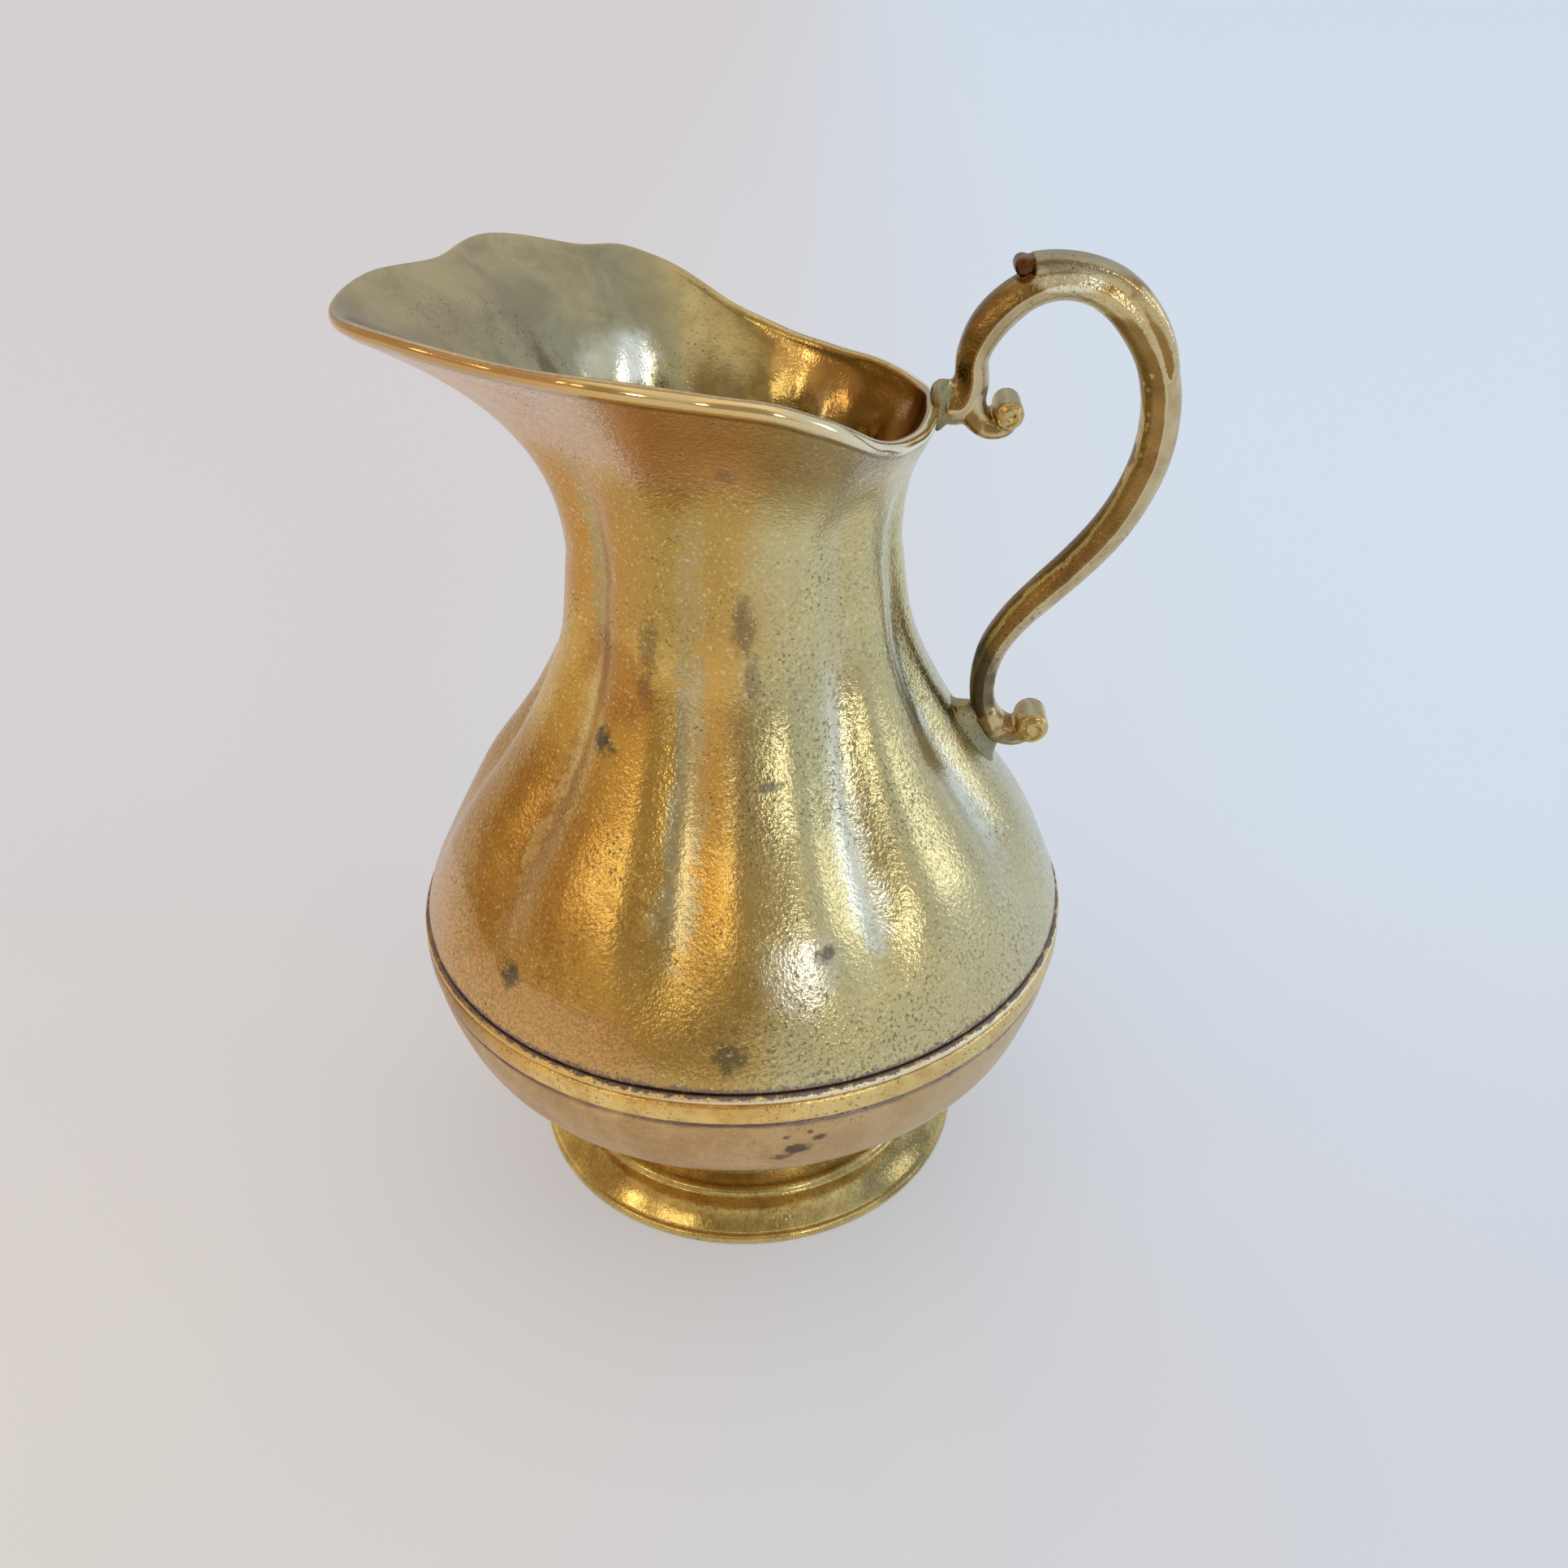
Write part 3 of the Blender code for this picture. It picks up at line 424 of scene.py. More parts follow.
def shell_sheet(theta, sizes, belly_rows, rim_rows):
    """Outer side of the fluted shell as grids (reach, height, share of the flute), from girdle to lip.
    Up to the neck the reach is the belly's outline less the flute. Above it each direction follows a
    cubic Bezier curve from the upright neck to the lip's own reach, height and slope."""
    angle = from_spout(theta)
    side = np.abs(angle)
    z = np.linspace(BAND_TOP_Z + 0.0009, NECK_Z, belly_rows)
    level = ease((z - GROOVE_FULL_Z) / (NECK_Z - GROOVE_FULL_Z))
    start = ease((z - GROOVE_START_Z) / (GROOVE_FULL_Z - GROOVE_START_Z))
    depth = start * (sizes.flute_depth + (sizes.neck_flute_depth - sizes.flute_depth) * level)
    share = np.stack([flute_share(side, v) for v in level])
    reach = belly_radius(z)[:, None] - depth[:, None] * share
    height = np.repeat(z[:, None], len(theta), 1)

    neck = BELLY[-1][1]
    lip_reach, lip_height = whole_mouth(1, angle), whole_mouth(2, angle)
    slope = np.radians(whole_mouth(3, angle))
    rise = lip_height - NECK_Z
    far = np.hypot(rise, lip_reach - neck + sizes.wall / 2)
    back = ease((side - 80.0) / 60.0)
    end = (lip_reach + sizes.wall / 2 * np.sin(slope), lip_height - sizes.wall / 2 * np.cos(slope))
    pull = (0.36 - 0.12 * back) * far
    bend = (end[0] - pull * np.cos(slope), end[1] - pull * np.sin(slope))
    t = (np.arange(1, rim_rows + 1) / rim_rows)[:, None]
    w = ((1 - t) ** 3, 3 * t * (1 - t) ** 2, 3 * t * t * (1 - t), t**3)
    rim_reach = w[0] * neck + w[1] * neck + w[2] * bend[0] + w[3] * end[0]
    upright = NECK_Z + (0.5 + 0.14 * back) * rise
    rim_height = w[0] * NECK_Z + w[1] * upright + w[2] * bend[1] + w[3] * end[1]
    upper = np.stack([flute_share(side, 1 + ease(v)) for v in t[:, 0]])
    rim_reach = rim_reach - sizes.neck_flute_depth * (1 - 0.8 * ease(t)) * upper
    shares = np.concatenate([start[:, None] * share, (1 - 0.6 * ease(t)) * upper])
    return np.concatenate([reach, rim_reach]), np.concatenate([height, rim_height]), shares


def meridian_normals(reach, height):
    """Outward unit normals in the plane of each meridian, as grids (radial part, upward part)."""
    dr = np.gradient(reach, axis=0)
    dz = np.gradient(height, axis=0)
    length = np.hypot(dr, dz)
    return dz / length, -dr / length


# ---- Finishes


class Nodes:
    """A tree of shader nodes: each call adds a node and gives back its output socket."""

    def __init__(self, tree):
        self.tree = tree

    def add(self, kind, sockets=None, **settings):
        """Adds a node and gives back its outputs. Sockets holds what goes into its inputs."""
        node = self.tree.nodes.new(kind)
        for key, value in settings.items():
            setattr(node, key, value)
        for key, value in (sockets or {}).items():
            self.put(node.inputs[key], value)
        return node.outputs

    def put(self, socket, value):
        """Links a socket to another one, or gives it a number, a vector or a colour."""
        if isinstance(value, bpy.types.NodeSocket):
            self.tree.links.new(value, socket)
        elif hasattr(value, "__len__") and len(value) == 3 and len(socket.default_value) == 4:
            socket.default_value = (*value, 1.0)
        else:
            socket.default_value = value

    def sum(self, operation, a, b=0.0, c=0.0):
        return self.add("ShaderNodeMath", {0: a, 1: b, 2: c}, operation=operation)[0]

    def plus(self, a, b):
        return self.sum("ADD", a, b)

    def minus(self, a, b):
        return self.sum("SUBTRACT", a, b)

    def most(self, a, b):
        return self.sum("MAXIMUM", a, b)

    def times(self, first, *others):
        for value in others:
            first = self.sum("MULTIPLY", first, value)
        return first

    def drift(self, value, amount, start):
        """The start, moved by the amount times the value."""
        return self.sum("MULTIPLY_ADD", value, amount, start)

    def swing(self, value, amount, start):
        """The start, moved to both sides by a value that runs from 0 to 1."""
        return self.drift(self.minus(value, 0.5), amount, start)

    def vector(self, operation, a, b=(0.0, 0.0, 0.0)):
        outputs = self.add("ShaderNodeVectorMath", {0: a, 1: b}, operation=operation)
        return outputs["Vector" if operation == "SUBTRACT" else "Value"]

    def fade(self, value, low, high, to_low=0.0, to_high=1.0, curve="SMOOTHSTEP"):
        """Runs from to_low to to_high while the value runs from low to high, and stays level beyond."""
        sockets = {"Value": value, "From Min": low, "From Max": high, "To Min": to_low, "To Max": to_high}
        return self.add("ShaderNodeMapRange", sockets, interpolation_type=curve)[0]

    def ramp(self, value, low, high, to_low, to_high):
        return self.fade(value, low, high, to_low, to_high, "LINEAR")

    def mix(self, share, a, b, blend="MIX"):
        sockets = {0: share, 6: a, 7: b}
        return self.add("ShaderNodeMix", sockets, data_type="RGBA", blend_type=blend)[2]


class Finish(Nodes):
    """One material: a ground colour with tints laid over shares of it, a roughness and a relief."""

    def __init__(self, name, metallic=1.0):
        self.material = bpy.data.materials.new(name)
        self.material.use_nodes = True
        super().__init__(self.material.node_tree)
        self.shader = self.tree.nodes["Principled BSDF"]
        self.shader.inputs["Metallic"].default_value = metallic
        self.place = self.add("ShaderNodeTexCoord")["Object"]
        self.x, self.y, self.z = self.add("ShaderNodeSeparateXYZ", {0: self.place})
        self.colour = self.rough = self.normal = None

    def noise(self, scale, detail=4.0, rough=0.55, distortion=0.0):
        sockets = {"Vector": self.place, "Scale": scale, "Detail": detail, "Roughness": rough}
        return self.add("ShaderNodeTexNoise", {**sockets, "Distortion": distortion})["Fac"]

    def cells(self, scale):
        return self.add("ShaderNodeTexVoronoi", {"Vector": self.place, "Scale": scale})["Distance"]

    def clouds(self, scale, rough, distortion, low, high):
        """Mottling: slow noise, sharpened between two of its levels."""
        return self.fade(self.noise(scale, 5.0, rough, distortion), low, high)

    def mark(self, name):
        """A value that the piece's own surface carries."""
        return self.add("ShaderNodeAttribute", attribute_name=name)["Fac"]

    def distance(self, centre, radii):
        """How far a place lies from a centre, counted in the radii along each axis."""
        away = self.vector("SUBTRACT", self.place, centre)
        counted = self.add("ShaderNodeMapping", {"Vector": away, "Scale": tuple(1.0 / r for r in radii)})
        return self.vector("LENGTH", counted[0])

    def stain(self, centre, radii, edge=0.5, ragged=0.35, grain=420.0):
        """Share of a ragged spot: 1 within its radii, fading out over the edge, broken up by noise."""
        off = self.swing(self.noise(grain, 3.0, 0.6), ragged * 2, self.distance(centre, radii))
        return self.fade(off, 1.0, 1.0 - edge)

    def ring(self, value, middle, half, edge, ragged=0.0, grain=0.0):
        """Share of a strip where value lies within half of middle, fading over edge."""
        off = self.sum("ABSOLUTE", self.minus(value, middle))
        if ragged:
            off = self.swing(self.noise(grain, 4.0, 0.65), ragged * 2, off)
        return self.fade(off, half + edge, half)

    def rightwards(self, low, high, wander=0.5):
        """Share that grows across the jug from -X to +X, its front ragged with slow noise."""
        return self.fade(self.swing(self.noise(26.0, 4.0, 0.6, 0.4), wander * 0.08, self.x), low, high)

    def upwards(self, grain, wander, low, high, detail=4.0):
        """Share that fades in from one height to the other, its front ragged with noise."""
        return self.fade(self.drift(self.noise(grain, detail, 0.6), wander, self.z), low, high)

    def relief(self, height, strength, distance):
        sockets = {"Height": height, "Strength": strength, "Distance": distance}
        if self.normal is not None:
            sockets["Normal"] = self.normal
        self.normal = self.add("ShaderNodeBump", sockets)[0]

    def cast_skin(self, coarse, density, depth, bare=1.0):
        """Casting pits and fine grain. Pits are the middles of scattered cells, kept only where a slow
        noise is high, and the grain is fine noise at two scales. Bare is how much of the relief shows."""
        where = self.fade(self.noise(45.0, 3.0, 0.6), 0.62 - density, 0.8 - density)
        big = self.fade(self.cells(coarse), 0.26, 0.1)
        small = self.fade(self.cells(coarse * 2.1), 0.3, 0.12)
        self.pits = self.times(self.most(big, self.times(small, 0.7)), where)
        self.grain = self.noise(coarse * 1.9, 2.0, 0.6)
        dimples = self.noise(coarse * 0.42, 3.0, 0.55)
        raised = self.minus(1.0, self.pits)
        for height, strength, depth_m in (
            (dimples, 0.6, 0.0002), (self.grain, 1.0, 0.00013), (raised, 0.8, 0.00012)
        ):
            self.relief(height, self.times(bare, strength * depth), depth_m)

    def cover(self, tint, *shares):
        """Lays a tint over the colour so far, as far as the product of the shares says."""
        self.colour = self.mix(self.times(*shares), self.colour, tint)

    def dull(self, share, amount):
        self.rough = self.plus(self.rough, self.times(share, amount))

    def sheen(self, grain, bright, dull):
        """Roughness that wanders between two values with fine noise."""
        self.rough = self.ramp(self.noise(grain, 4.0, 0.6), 0.3, 0.7, bright, dull)

    def spots(self, rows, tint, dulled, edge, ragged, grain):
        """Lays a tint in each ragged spot, given by its centre, radii and strength, and dulls it."""
        for centre, radii, strength in rows:
            mask = self.times(self.stain(centre, radii, edge, ragged, grain), strength)
            self.cover(tint, mask)
            self.dull(mask, dulled)

    def close(self, metallic=None, film=None):
        """Joins colour, roughness and relief to the shader. Film is the share of a thin clear coat."""
        sockets = {"Base Color": self.colour, "Roughness": self.rough, "Normal": self.normal}
        if metallic is not None:
            sockets["Metallic"] = metallic
        if film is not None:
            sockets |= {"Coat Weight": film, "Coat Normal": self.normal}
            sockets |= {"Coat Roughness": 0.2, "Coat IOR": 2.0}
        for name, value in sockets.items():
            self.put(self.shader.inputs[name], value)
        return self.material


def body_finish(colours):
    """Orange gold on the left and pale greenish yellow on the right, partly tarnish and partly painted warm
    and cool light, paler in the flutes' valleys, partly patina and partly painted highlight, and brown
    under the lip. Painted highlight lines and a painted highlight spot, painted shade on the upper right
    and low on the left, and a painted dark reflection low in the middle. A lining and rubbed edge of their
    own, with painted highlights and shade in the lining and a painted reflection at the lip's right end,
    dark spots and pits."""
    f = Finish("old_brass_body")
    flute, inside, lip = f.mark("flute"), f.mark("inside"), f.mark("lip")
    polished = f.most(f.times(inside, 0.6), f.times(lip, 0.9))
    f.cast_skin(620.0, 0.16, 1.0, f.minus(1.0, polished))
    outside = f.minus(1.0, inside)
    blotch = f.noise(34.0, 5.0, 0.6, 0.5)
    mottle = f.fade(blotch, 0.36, 0.66)
    fine = f.fade(f.noise(240.0, 4.0, 0.7), 0.3, 0.72)
    # Share from left to right: the orange gold on the left and pale yellow on the right are partly tarnish
    # and partly painted light, warm from the left and cool from the right
    across = f.rightwards(-0.014, 0.009, 0.45)
    on_belly = f.fade(f.z, 0.156, 0.14)
    # Painted highlight weighting: the valleys' colour and their glint lines show fully on the -Y side and at
    # 35% behind
    near = f.fade(f.y, 0.015, -0.015, to_low=0.35)

    # Crests and valleys of the flutes. The valleys' pale and white colour is partly patina and partly painted
    # highlight, full on the near side, and the khaki over the upper right crests is painted shade
    left_crest = f.mix(mottle, colours.orange, colours.golden)
    crest = f.mix(across, left_crest, f.mix(mottle, colours.straw, colours.pale))
    # Painted shade: the crests on the upper right of the belly dulled to khaki
    shaded = f.times(on_belly, across, f.fade(f.z, 0.088, 0.1, to_high=0.45))
    crest = f.mix(shaded, crest, (0.41, 0.36, 0.165))
    # Valley colours: partly pale patina, partly painted highlight, near white low on the right
    left_valley_patina_and_highlight = f.mix(f.fade(f.x, -0.038, -0.024), (0.74, 0.52, 0.18), (0.6, 0.56, 0.35))
    right_valley_patina_and_highlight = f.mix(f.fade(f.z, 0.108, 0.128), (0.78, 0.765, 0.62), (0.66, 0.61, 0.38))
    left_valley = f.mix(on_belly, (0.47, 0.37, 0.165), left_valley_patina_and_highlight)
    valley = f.mix(across, left_valley, f.mix(on_belly, (0.62, 0.55, 0.3), right_valley_patina_and_highlight))
    ragged = f.drift(across, 0.06, f.swing(blotch, 0.45, f.swing(fine, 0.3, flute)))
    at_neck = f.fade(ragged, 0.66, 0.96, to_high=0.75)
    deep = f.times(f.mix(on_belly, at_neck, f.fade(ragged, 0.58, 0.98, to_high=0.86)), near)
    f.colour = f.mix(deep, crest, valley)

    # Greyer on the far right, partly tarnish and partly painted cool light; tarnish under the lip and round
    # the neck; a darker orange patch on the left shoulder; painted shade low on the left
    f.cover((0.53, 0.475, 0.3), f.rightwards(0.026, 0.066, 0.35), 0.55)
    brown = f.mix(across, (0.74, 0.5, 0.33), (0.52, 0.36, 0.18))
    f.cover(brown, f.upwards(60.0, 0.016, 0.196, 0.205), outside, 0.8)
    neck = f.times(f.fade(f.z, 0.148, 0.162), f.minus(1.0, across), f.fade(f.z, 0.197, 0.188, to_low=0.25))
    worn = f.mix(f.fade(f.x, -0.034, -0.018), (0.58, 0.275, 0.06), (0.45, 0.3, 0.082))
    f.cover(worn, neck, f.ramp(deep, 0.0, 0.75, 1.0, 0.15), 0.7)
    dark_left = f.stain((-0.0315, -0.034, 0.146), (0.0135, 0.022, 0.013), grain=190.0)
    f.cover((0.45, 0.185, 0.032), dark_left, 0.72)
    backward = f.drift(blotch, 0.02, f.x)
    # Painted shade: low on the left of the belly, darkened to umber on the side away from the light
    painted_shade_left = f.mix(fine, (0.38, 0.175, 0.03), (0.52, 0.27, 0.06))
    f.cover(painted_shade_left, f.fade(backward, -0.012, -0.036), f.fade(f.z, 0.135, 0.118), 0.75)
    # Painted highlight: thin bright lines along the bottoms of the valleys on the belly, strongest on the
    # near side
    painted_valley_glint = f.fade(f.swing(fine, 0.12, flute), 0.925, 0.985)
    painted_valley_glint = f.times(painted_valley_glint, f.times(f.fade(f.z, 0.092, 0.1), f.fade(f.z, 0.152, 0.138)))
    f.cover(f.mix(across, (0.88, 0.7, 0.33), (0.93, 0.91, 0.78)), painted_valley_glint, near, 0.45)

    # The tan patch over the girdle, whose upper edge slants, a painted dark reflection low in the middle, and
    # a painted highlight spot beside the patch
    slant = f.plus(f.z, f.fade(f.x, -0.032, -0.01, to_high=0.013))
    slant = f.minus(slant, f.fade(f.x, -0.058, -0.07, to_high=0.0075))
    slant = f.swing(f.noise(150.0, 4.0, 0.65), 0.009, slant)
    patch = f.times(f.fade(slant, 0.0868, 0.0859), f.fade(f.x, 0.0, -0.008), f.fade(f.y, 0.01, -0.02))
    f.cover(f.mix(f.fade(f.grain, 0.36, 0.62), (0.42, 0.24, 0.085), (0.82, 0.5, 0.2)), patch, 0.85)
    # Painted reflection: the low middle of the belly darkened to olive, as a dark room in front would show
    painted_dark_reflection = f.times(f.fade(f.z, 0.104, 0.092), f.fade(f.x, -0.034, -0.016), f.minus(1.0, across))
    f.cover((0.46, 0.33, 0.105), painted_dark_reflection, 0.6)
    # Painted highlight: a pale, nearly white spot on the front right of the belly
    rubbed = f.stain((0.0085, -0.0656, 0.0965), (0.011, 0.015, 0.0125), 0.8, 0.3, 300.0)
    f.cover((0.84, 0.82, 0.66), rubbed, 0.75)

    # Spots, two ring marks, grime along the girdle, dark specks, painted glints as bright specks, and pits
    f.rough = f.ramp(fine, 0.0, 1.0, 0.19, 0.28)
    f.spots(BODY_SPOTS, (0.085, 0.072, 0.055), 0.2, 0.6, 0.75, 520.0)
    for centre, radius in BODY_RING_MARKS:
        ring_mark = f.ring(f.distance(centre, (radius,) * 3), 1.0, 0.05, 0.25, 0.35, 420.0)
        f.cover((0.24, 0.15, 0.06), ring_mark, 0.22)
    f.cover(colours.grime, f.ring(f.z, BAND_TOP_Z + 0.0006, 0.0006, 0.0009, 0.002, 520.0), outside, 0.8)
    speckled = f.fade(f.noise(34.0, 3.0, 0.6), 0.4, 0.6, 0.2, 0.62)
    speckled = f.times(speckled, f.ramp(across, 0.0, 1.0, 0.7, 1.25), f.fade(f.z, 0.165, 0.13, to_low=0.45))
    f.cover((0.17, 0.125, 0.055), f.fade(f.grain, 0.55, 0.64), speckled)
    # Painted glints: bright specks of fine grain
    f.cover((0.97, 0.88, 0.56), f.fade(f.grain, 0.42, 0.3), 0.45)
    f.cover((0.13, 0.095, 0.045), f.pits, 0.72)
    f.dull(f.pits, 0.15)

    # The lining of the mouth: smudged towards the spout, with two painted highlights, brown behind that is
    # partly tarnish and partly painted shade, and pale streaks along the flutes that are partly patina and
    # partly painted highlight
    front = f.mix(f.clouds(75.0, 0.66, 0.5, 0.34, 0.66), (0.3, 0.255, 0.15), (0.4, 0.345, 0.2))
    # Painted highlights: a pale glow with a near white core towards the spout, and a golden core in the
    # middle
    painted_highlight_glow = f.stain((-0.033, 0.028, 0.194), (0.015, 0.015, 0.008), 0.7, 0.4, 260.0)
    front = f.mix(painted_highlight_glow, front, (0.66, 0.62, 0.45))
    painted_highlight_core = f.stain((-0.0305, 0.0305, 0.1928), (0.0065, 0.01, 0.008), 0.7, 0.4, 300.0)
    front = f.mix(painted_highlight_core, front, (1.0, 0.98, 0.86))
    middle = f.mix(fine, (0.4, 0.29, 0.1), (0.58, 0.42, 0.15))
    painted_highlight_core = f.stain((0.0065, 0.037, 0.1898), (0.008, 0.01, 0.006), 0.7, 0.4, 300.0)
    middle = f.mix(painted_highlight_core, middle, (0.96, 0.68, 0.24))
    lining = f.mix(f.fade(backward, -0.034, 0.01), front, middle)
    # Painted shade, partly tarnish: brown towards the back of the lining
    lining = f.mix(f.fade(backward, 0.004, 0.034), lining, (0.34, 0.175, 0.045))
    # Pale streaks along the flutes: partly patina, partly painted highlight
    lining = f.mix(f.times(f.fade(ragged, 0.45, 0.8), 0.3), lining, (0.5, 0.46, 0.28))
    lining = f.mix(f.times(f.pits, 0.5), lining, (0.08, 0.06, 0.035))
    f.cover(lining, inside)
    f.rough = f.drift(inside, -0.09, f.rough)

    # The rubbed edge of the lip over a dark line, pale at its right end as a painted reflection
    edge = f.mix(f.rightwards(-0.048, -0.01, 0.3), (0.56, 0.32, 0.07), (0.8, 0.53, 0.15))
    # Painted reflection: the lip's edge turns pale towards its right end
    edge = f.mix(f.rightwards(-0.01, 0.03, 0.2), edge, (0.88, 0.8, 0.56))
    f.cover((0.13, 0.075, 0.025), f.ring(lip, 0.3, 0.14, 0.14), 0.55)
    f.cover(edge, f.fade(lip, 0.35, 0.6), 0.85)
    f.rough = f.drift(lip, -0.12, f.rough)
    return f.close(film=f.most(f.times(across, outside, 0.35), f.times(lip, 0.6)))


def bowl_finish(colours):
    """Pinkish tan, mottled and streaked, greyer on the right, partly tarnish and partly painted cool light,
    with painted glints as bright specks, grime under the girdle, a dark line over the foot that is
    painted shade and a few dark blotches."""
    f = Finish("old_brass_bowl")
    f.cast_skin(560.0, 0.14, 0.9)
    f.colour = f.mix(f.clouds(46.0, 0.6, 0.5, 0.36, 0.66), (0.54, 0.33, 0.13), (0.66, 0.44, 0.2))
    f.cover((0.42, 0.25, 0.09), f.clouds(130.0, 0.7, 0.3, 0.44, 0.64), 0.4)
    # Painted glints: bright specks of fine grain
    f.cover((0.88, 0.66, 0.36), f.fade(f.grain, 0.44, 0.32), 0.3)
    # Greyer on the right: partly tarnish, partly painted cool light
    f.cover((0.62, 0.49, 0.27), f.rightwards(0.0, 0.055), 0.8)
    f.sheen(180.0, 0.3, 0.42)
    f.spots(BOWL_SPOTS, (0.075, 0.062, 0.05), 0.25, 0.6, 0.6, 560.0)
    f.cover(colours.grime, f.upwards(180.0, 0.0022, 0.0645, 0.0662), 0.85)
    # Painted shade: a dark line low on the bowl, over the foot
    f.cover((0.12, 0.07, 0.03), f.upwards(150.0, -0.004, 0.024, 0.0195), 0.6)
    f.cover((0.17, 0.11, 0.055), f.pits, 0.5)
    return f.close()


def band_finish(colours, low, top):
    """Yellow brass, brown at the far left as painted shade and paler on the right, partly tarnish and partly
    painted cool light, rusty in places, with a painted highlight along the ridge and a dark crease, and
    grime along both edges."""
    f = Finish("old_brass_band")
    f.cast_skin(560.0, 0.2, 1.1)
    f.colour = f.mix(f.clouds(60.0, 0.62, 0.4, 0.34, 0.66), (0.8, 0.48, 0.13), (0.95, 0.7, 0.26))
    # Painted shade: brown at the far left, the side away from the light
    f.cover((0.41, 0.215, 0.062), f.rightwards(-0.045, -0.072, 0.2))
    # Paler on the right: partly tarnish, partly painted cool light
    f.cover((0.66, 0.55, 0.27), f.rightwards(-0.01, 0.05), 0.6)
    f.cover((0.56, 0.34, 0.1), f.clouds(150.0, 0.68, 0.4, 0.46, 0.66), 0.55)
    # Painted highlight along the ridge near the top
    light = f.mix(f.rightwards(-0.045, 0.01, 0.4), (0.84, 0.6, 0.22), (0.97, 0.92, 0.72))
    f.cover(light, f.ring(f.z, top - 0.0008, 0.0003, 0.0004, 0.0008, 420.0), 0.75)
    upper = f.ring(f.z, top + 0.0001, 0.0002, 0.0003, 0.001, 420.0)
    edges = f.most(upper, f.ring(f.z, low, 0.0003, 0.0005, 0.0008, 230.0))
    f.cover(colours.grime, edges, 0.88)
    f.cover((0.2, 0.12, 0.05), f.ring(f.z, top - 0.0021, 0.0001, 0.0003, 0.0006, 260.0), 0.45)
    f.cover((0.13, 0.085, 0.045), f.pits, 0.6)
    f.sheen(200.0, 0.24, 0.36)
    f.dull(edges, 0.3)
    return f.close()


def foot_finish(colours):
    """Worn brass, duller on the right, partly tarnish and partly painted cool light, rubbed bright along the
    rim, darker as painted shade in the cove and where it meets the bowl, darker where it stands, with a
    painted shade patch on the ring's right and painted glints as bright specks."""
    f = Finish("worn_brass_foot")
    f.cast_skin(620.0, 0.2, 0.4)
    mottle = f.clouds(85.0, 0.62, 0.6, 0.34, 0.66)
    left = f.mix(mottle, (0.41, 0.285, 0.085), (0.72, 0.53, 0.175))
    right = f.mix(mottle, (0.38, 0.285, 0.11), (0.56, 0.455, 0.2))
    # Duller on the right: partly tarnish, partly painted cool light
    f.colour = f.mix(f.rightwards(-0.03, 0.04, 0.6), left, right)
    f.cover(colours.bright, f.fade(f.z, 0.0042, 0.0012), 0.35)
    # Painted shade: dark where the foot meets the bowl
    f.cover((0.13, 0.075, 0.03), f.upwards(170.0, 0.003, 0.0215, 0.024), 0.7)
    f.cover((0.16, 0.1, 0.04), f.upwards(220.0, 0.0008, 0.0012, 0.0004, 3.0), 0.6)
    # Painted shade: darker in the cove
    f.cover((0.28, 0.19, 0.06), f.ring(f.z, 0.0135, 0.002, 0.0045, 0.003, 120.0), 0.3)
    # Painted shade: a dark patch on the right of the ring
    painted_shade_right_ring = f.stain((0.033, -0.033, 0.0045), (0.02, 0.02, 0.0042), grain=200.0)
    f.cover((0.16, 0.125, 0.055), painted_shade_right_ring, 0.65)
    f.cover((0.15, 0.095, 0.035), f.fade(f.grain, 0.55, 0.66), 0.35)
    # Painted glints: bright specks of fine grain
    f.cover((0.95, 0.8, 0.38), f.fade(f.grain, 0.44, 0.3), 0.22)
    f.cover((0.19, 0.12, 0.035), f.pits, 0.55)
    f.sheen(260.0, 0.12, 0.23)
    return f.close()


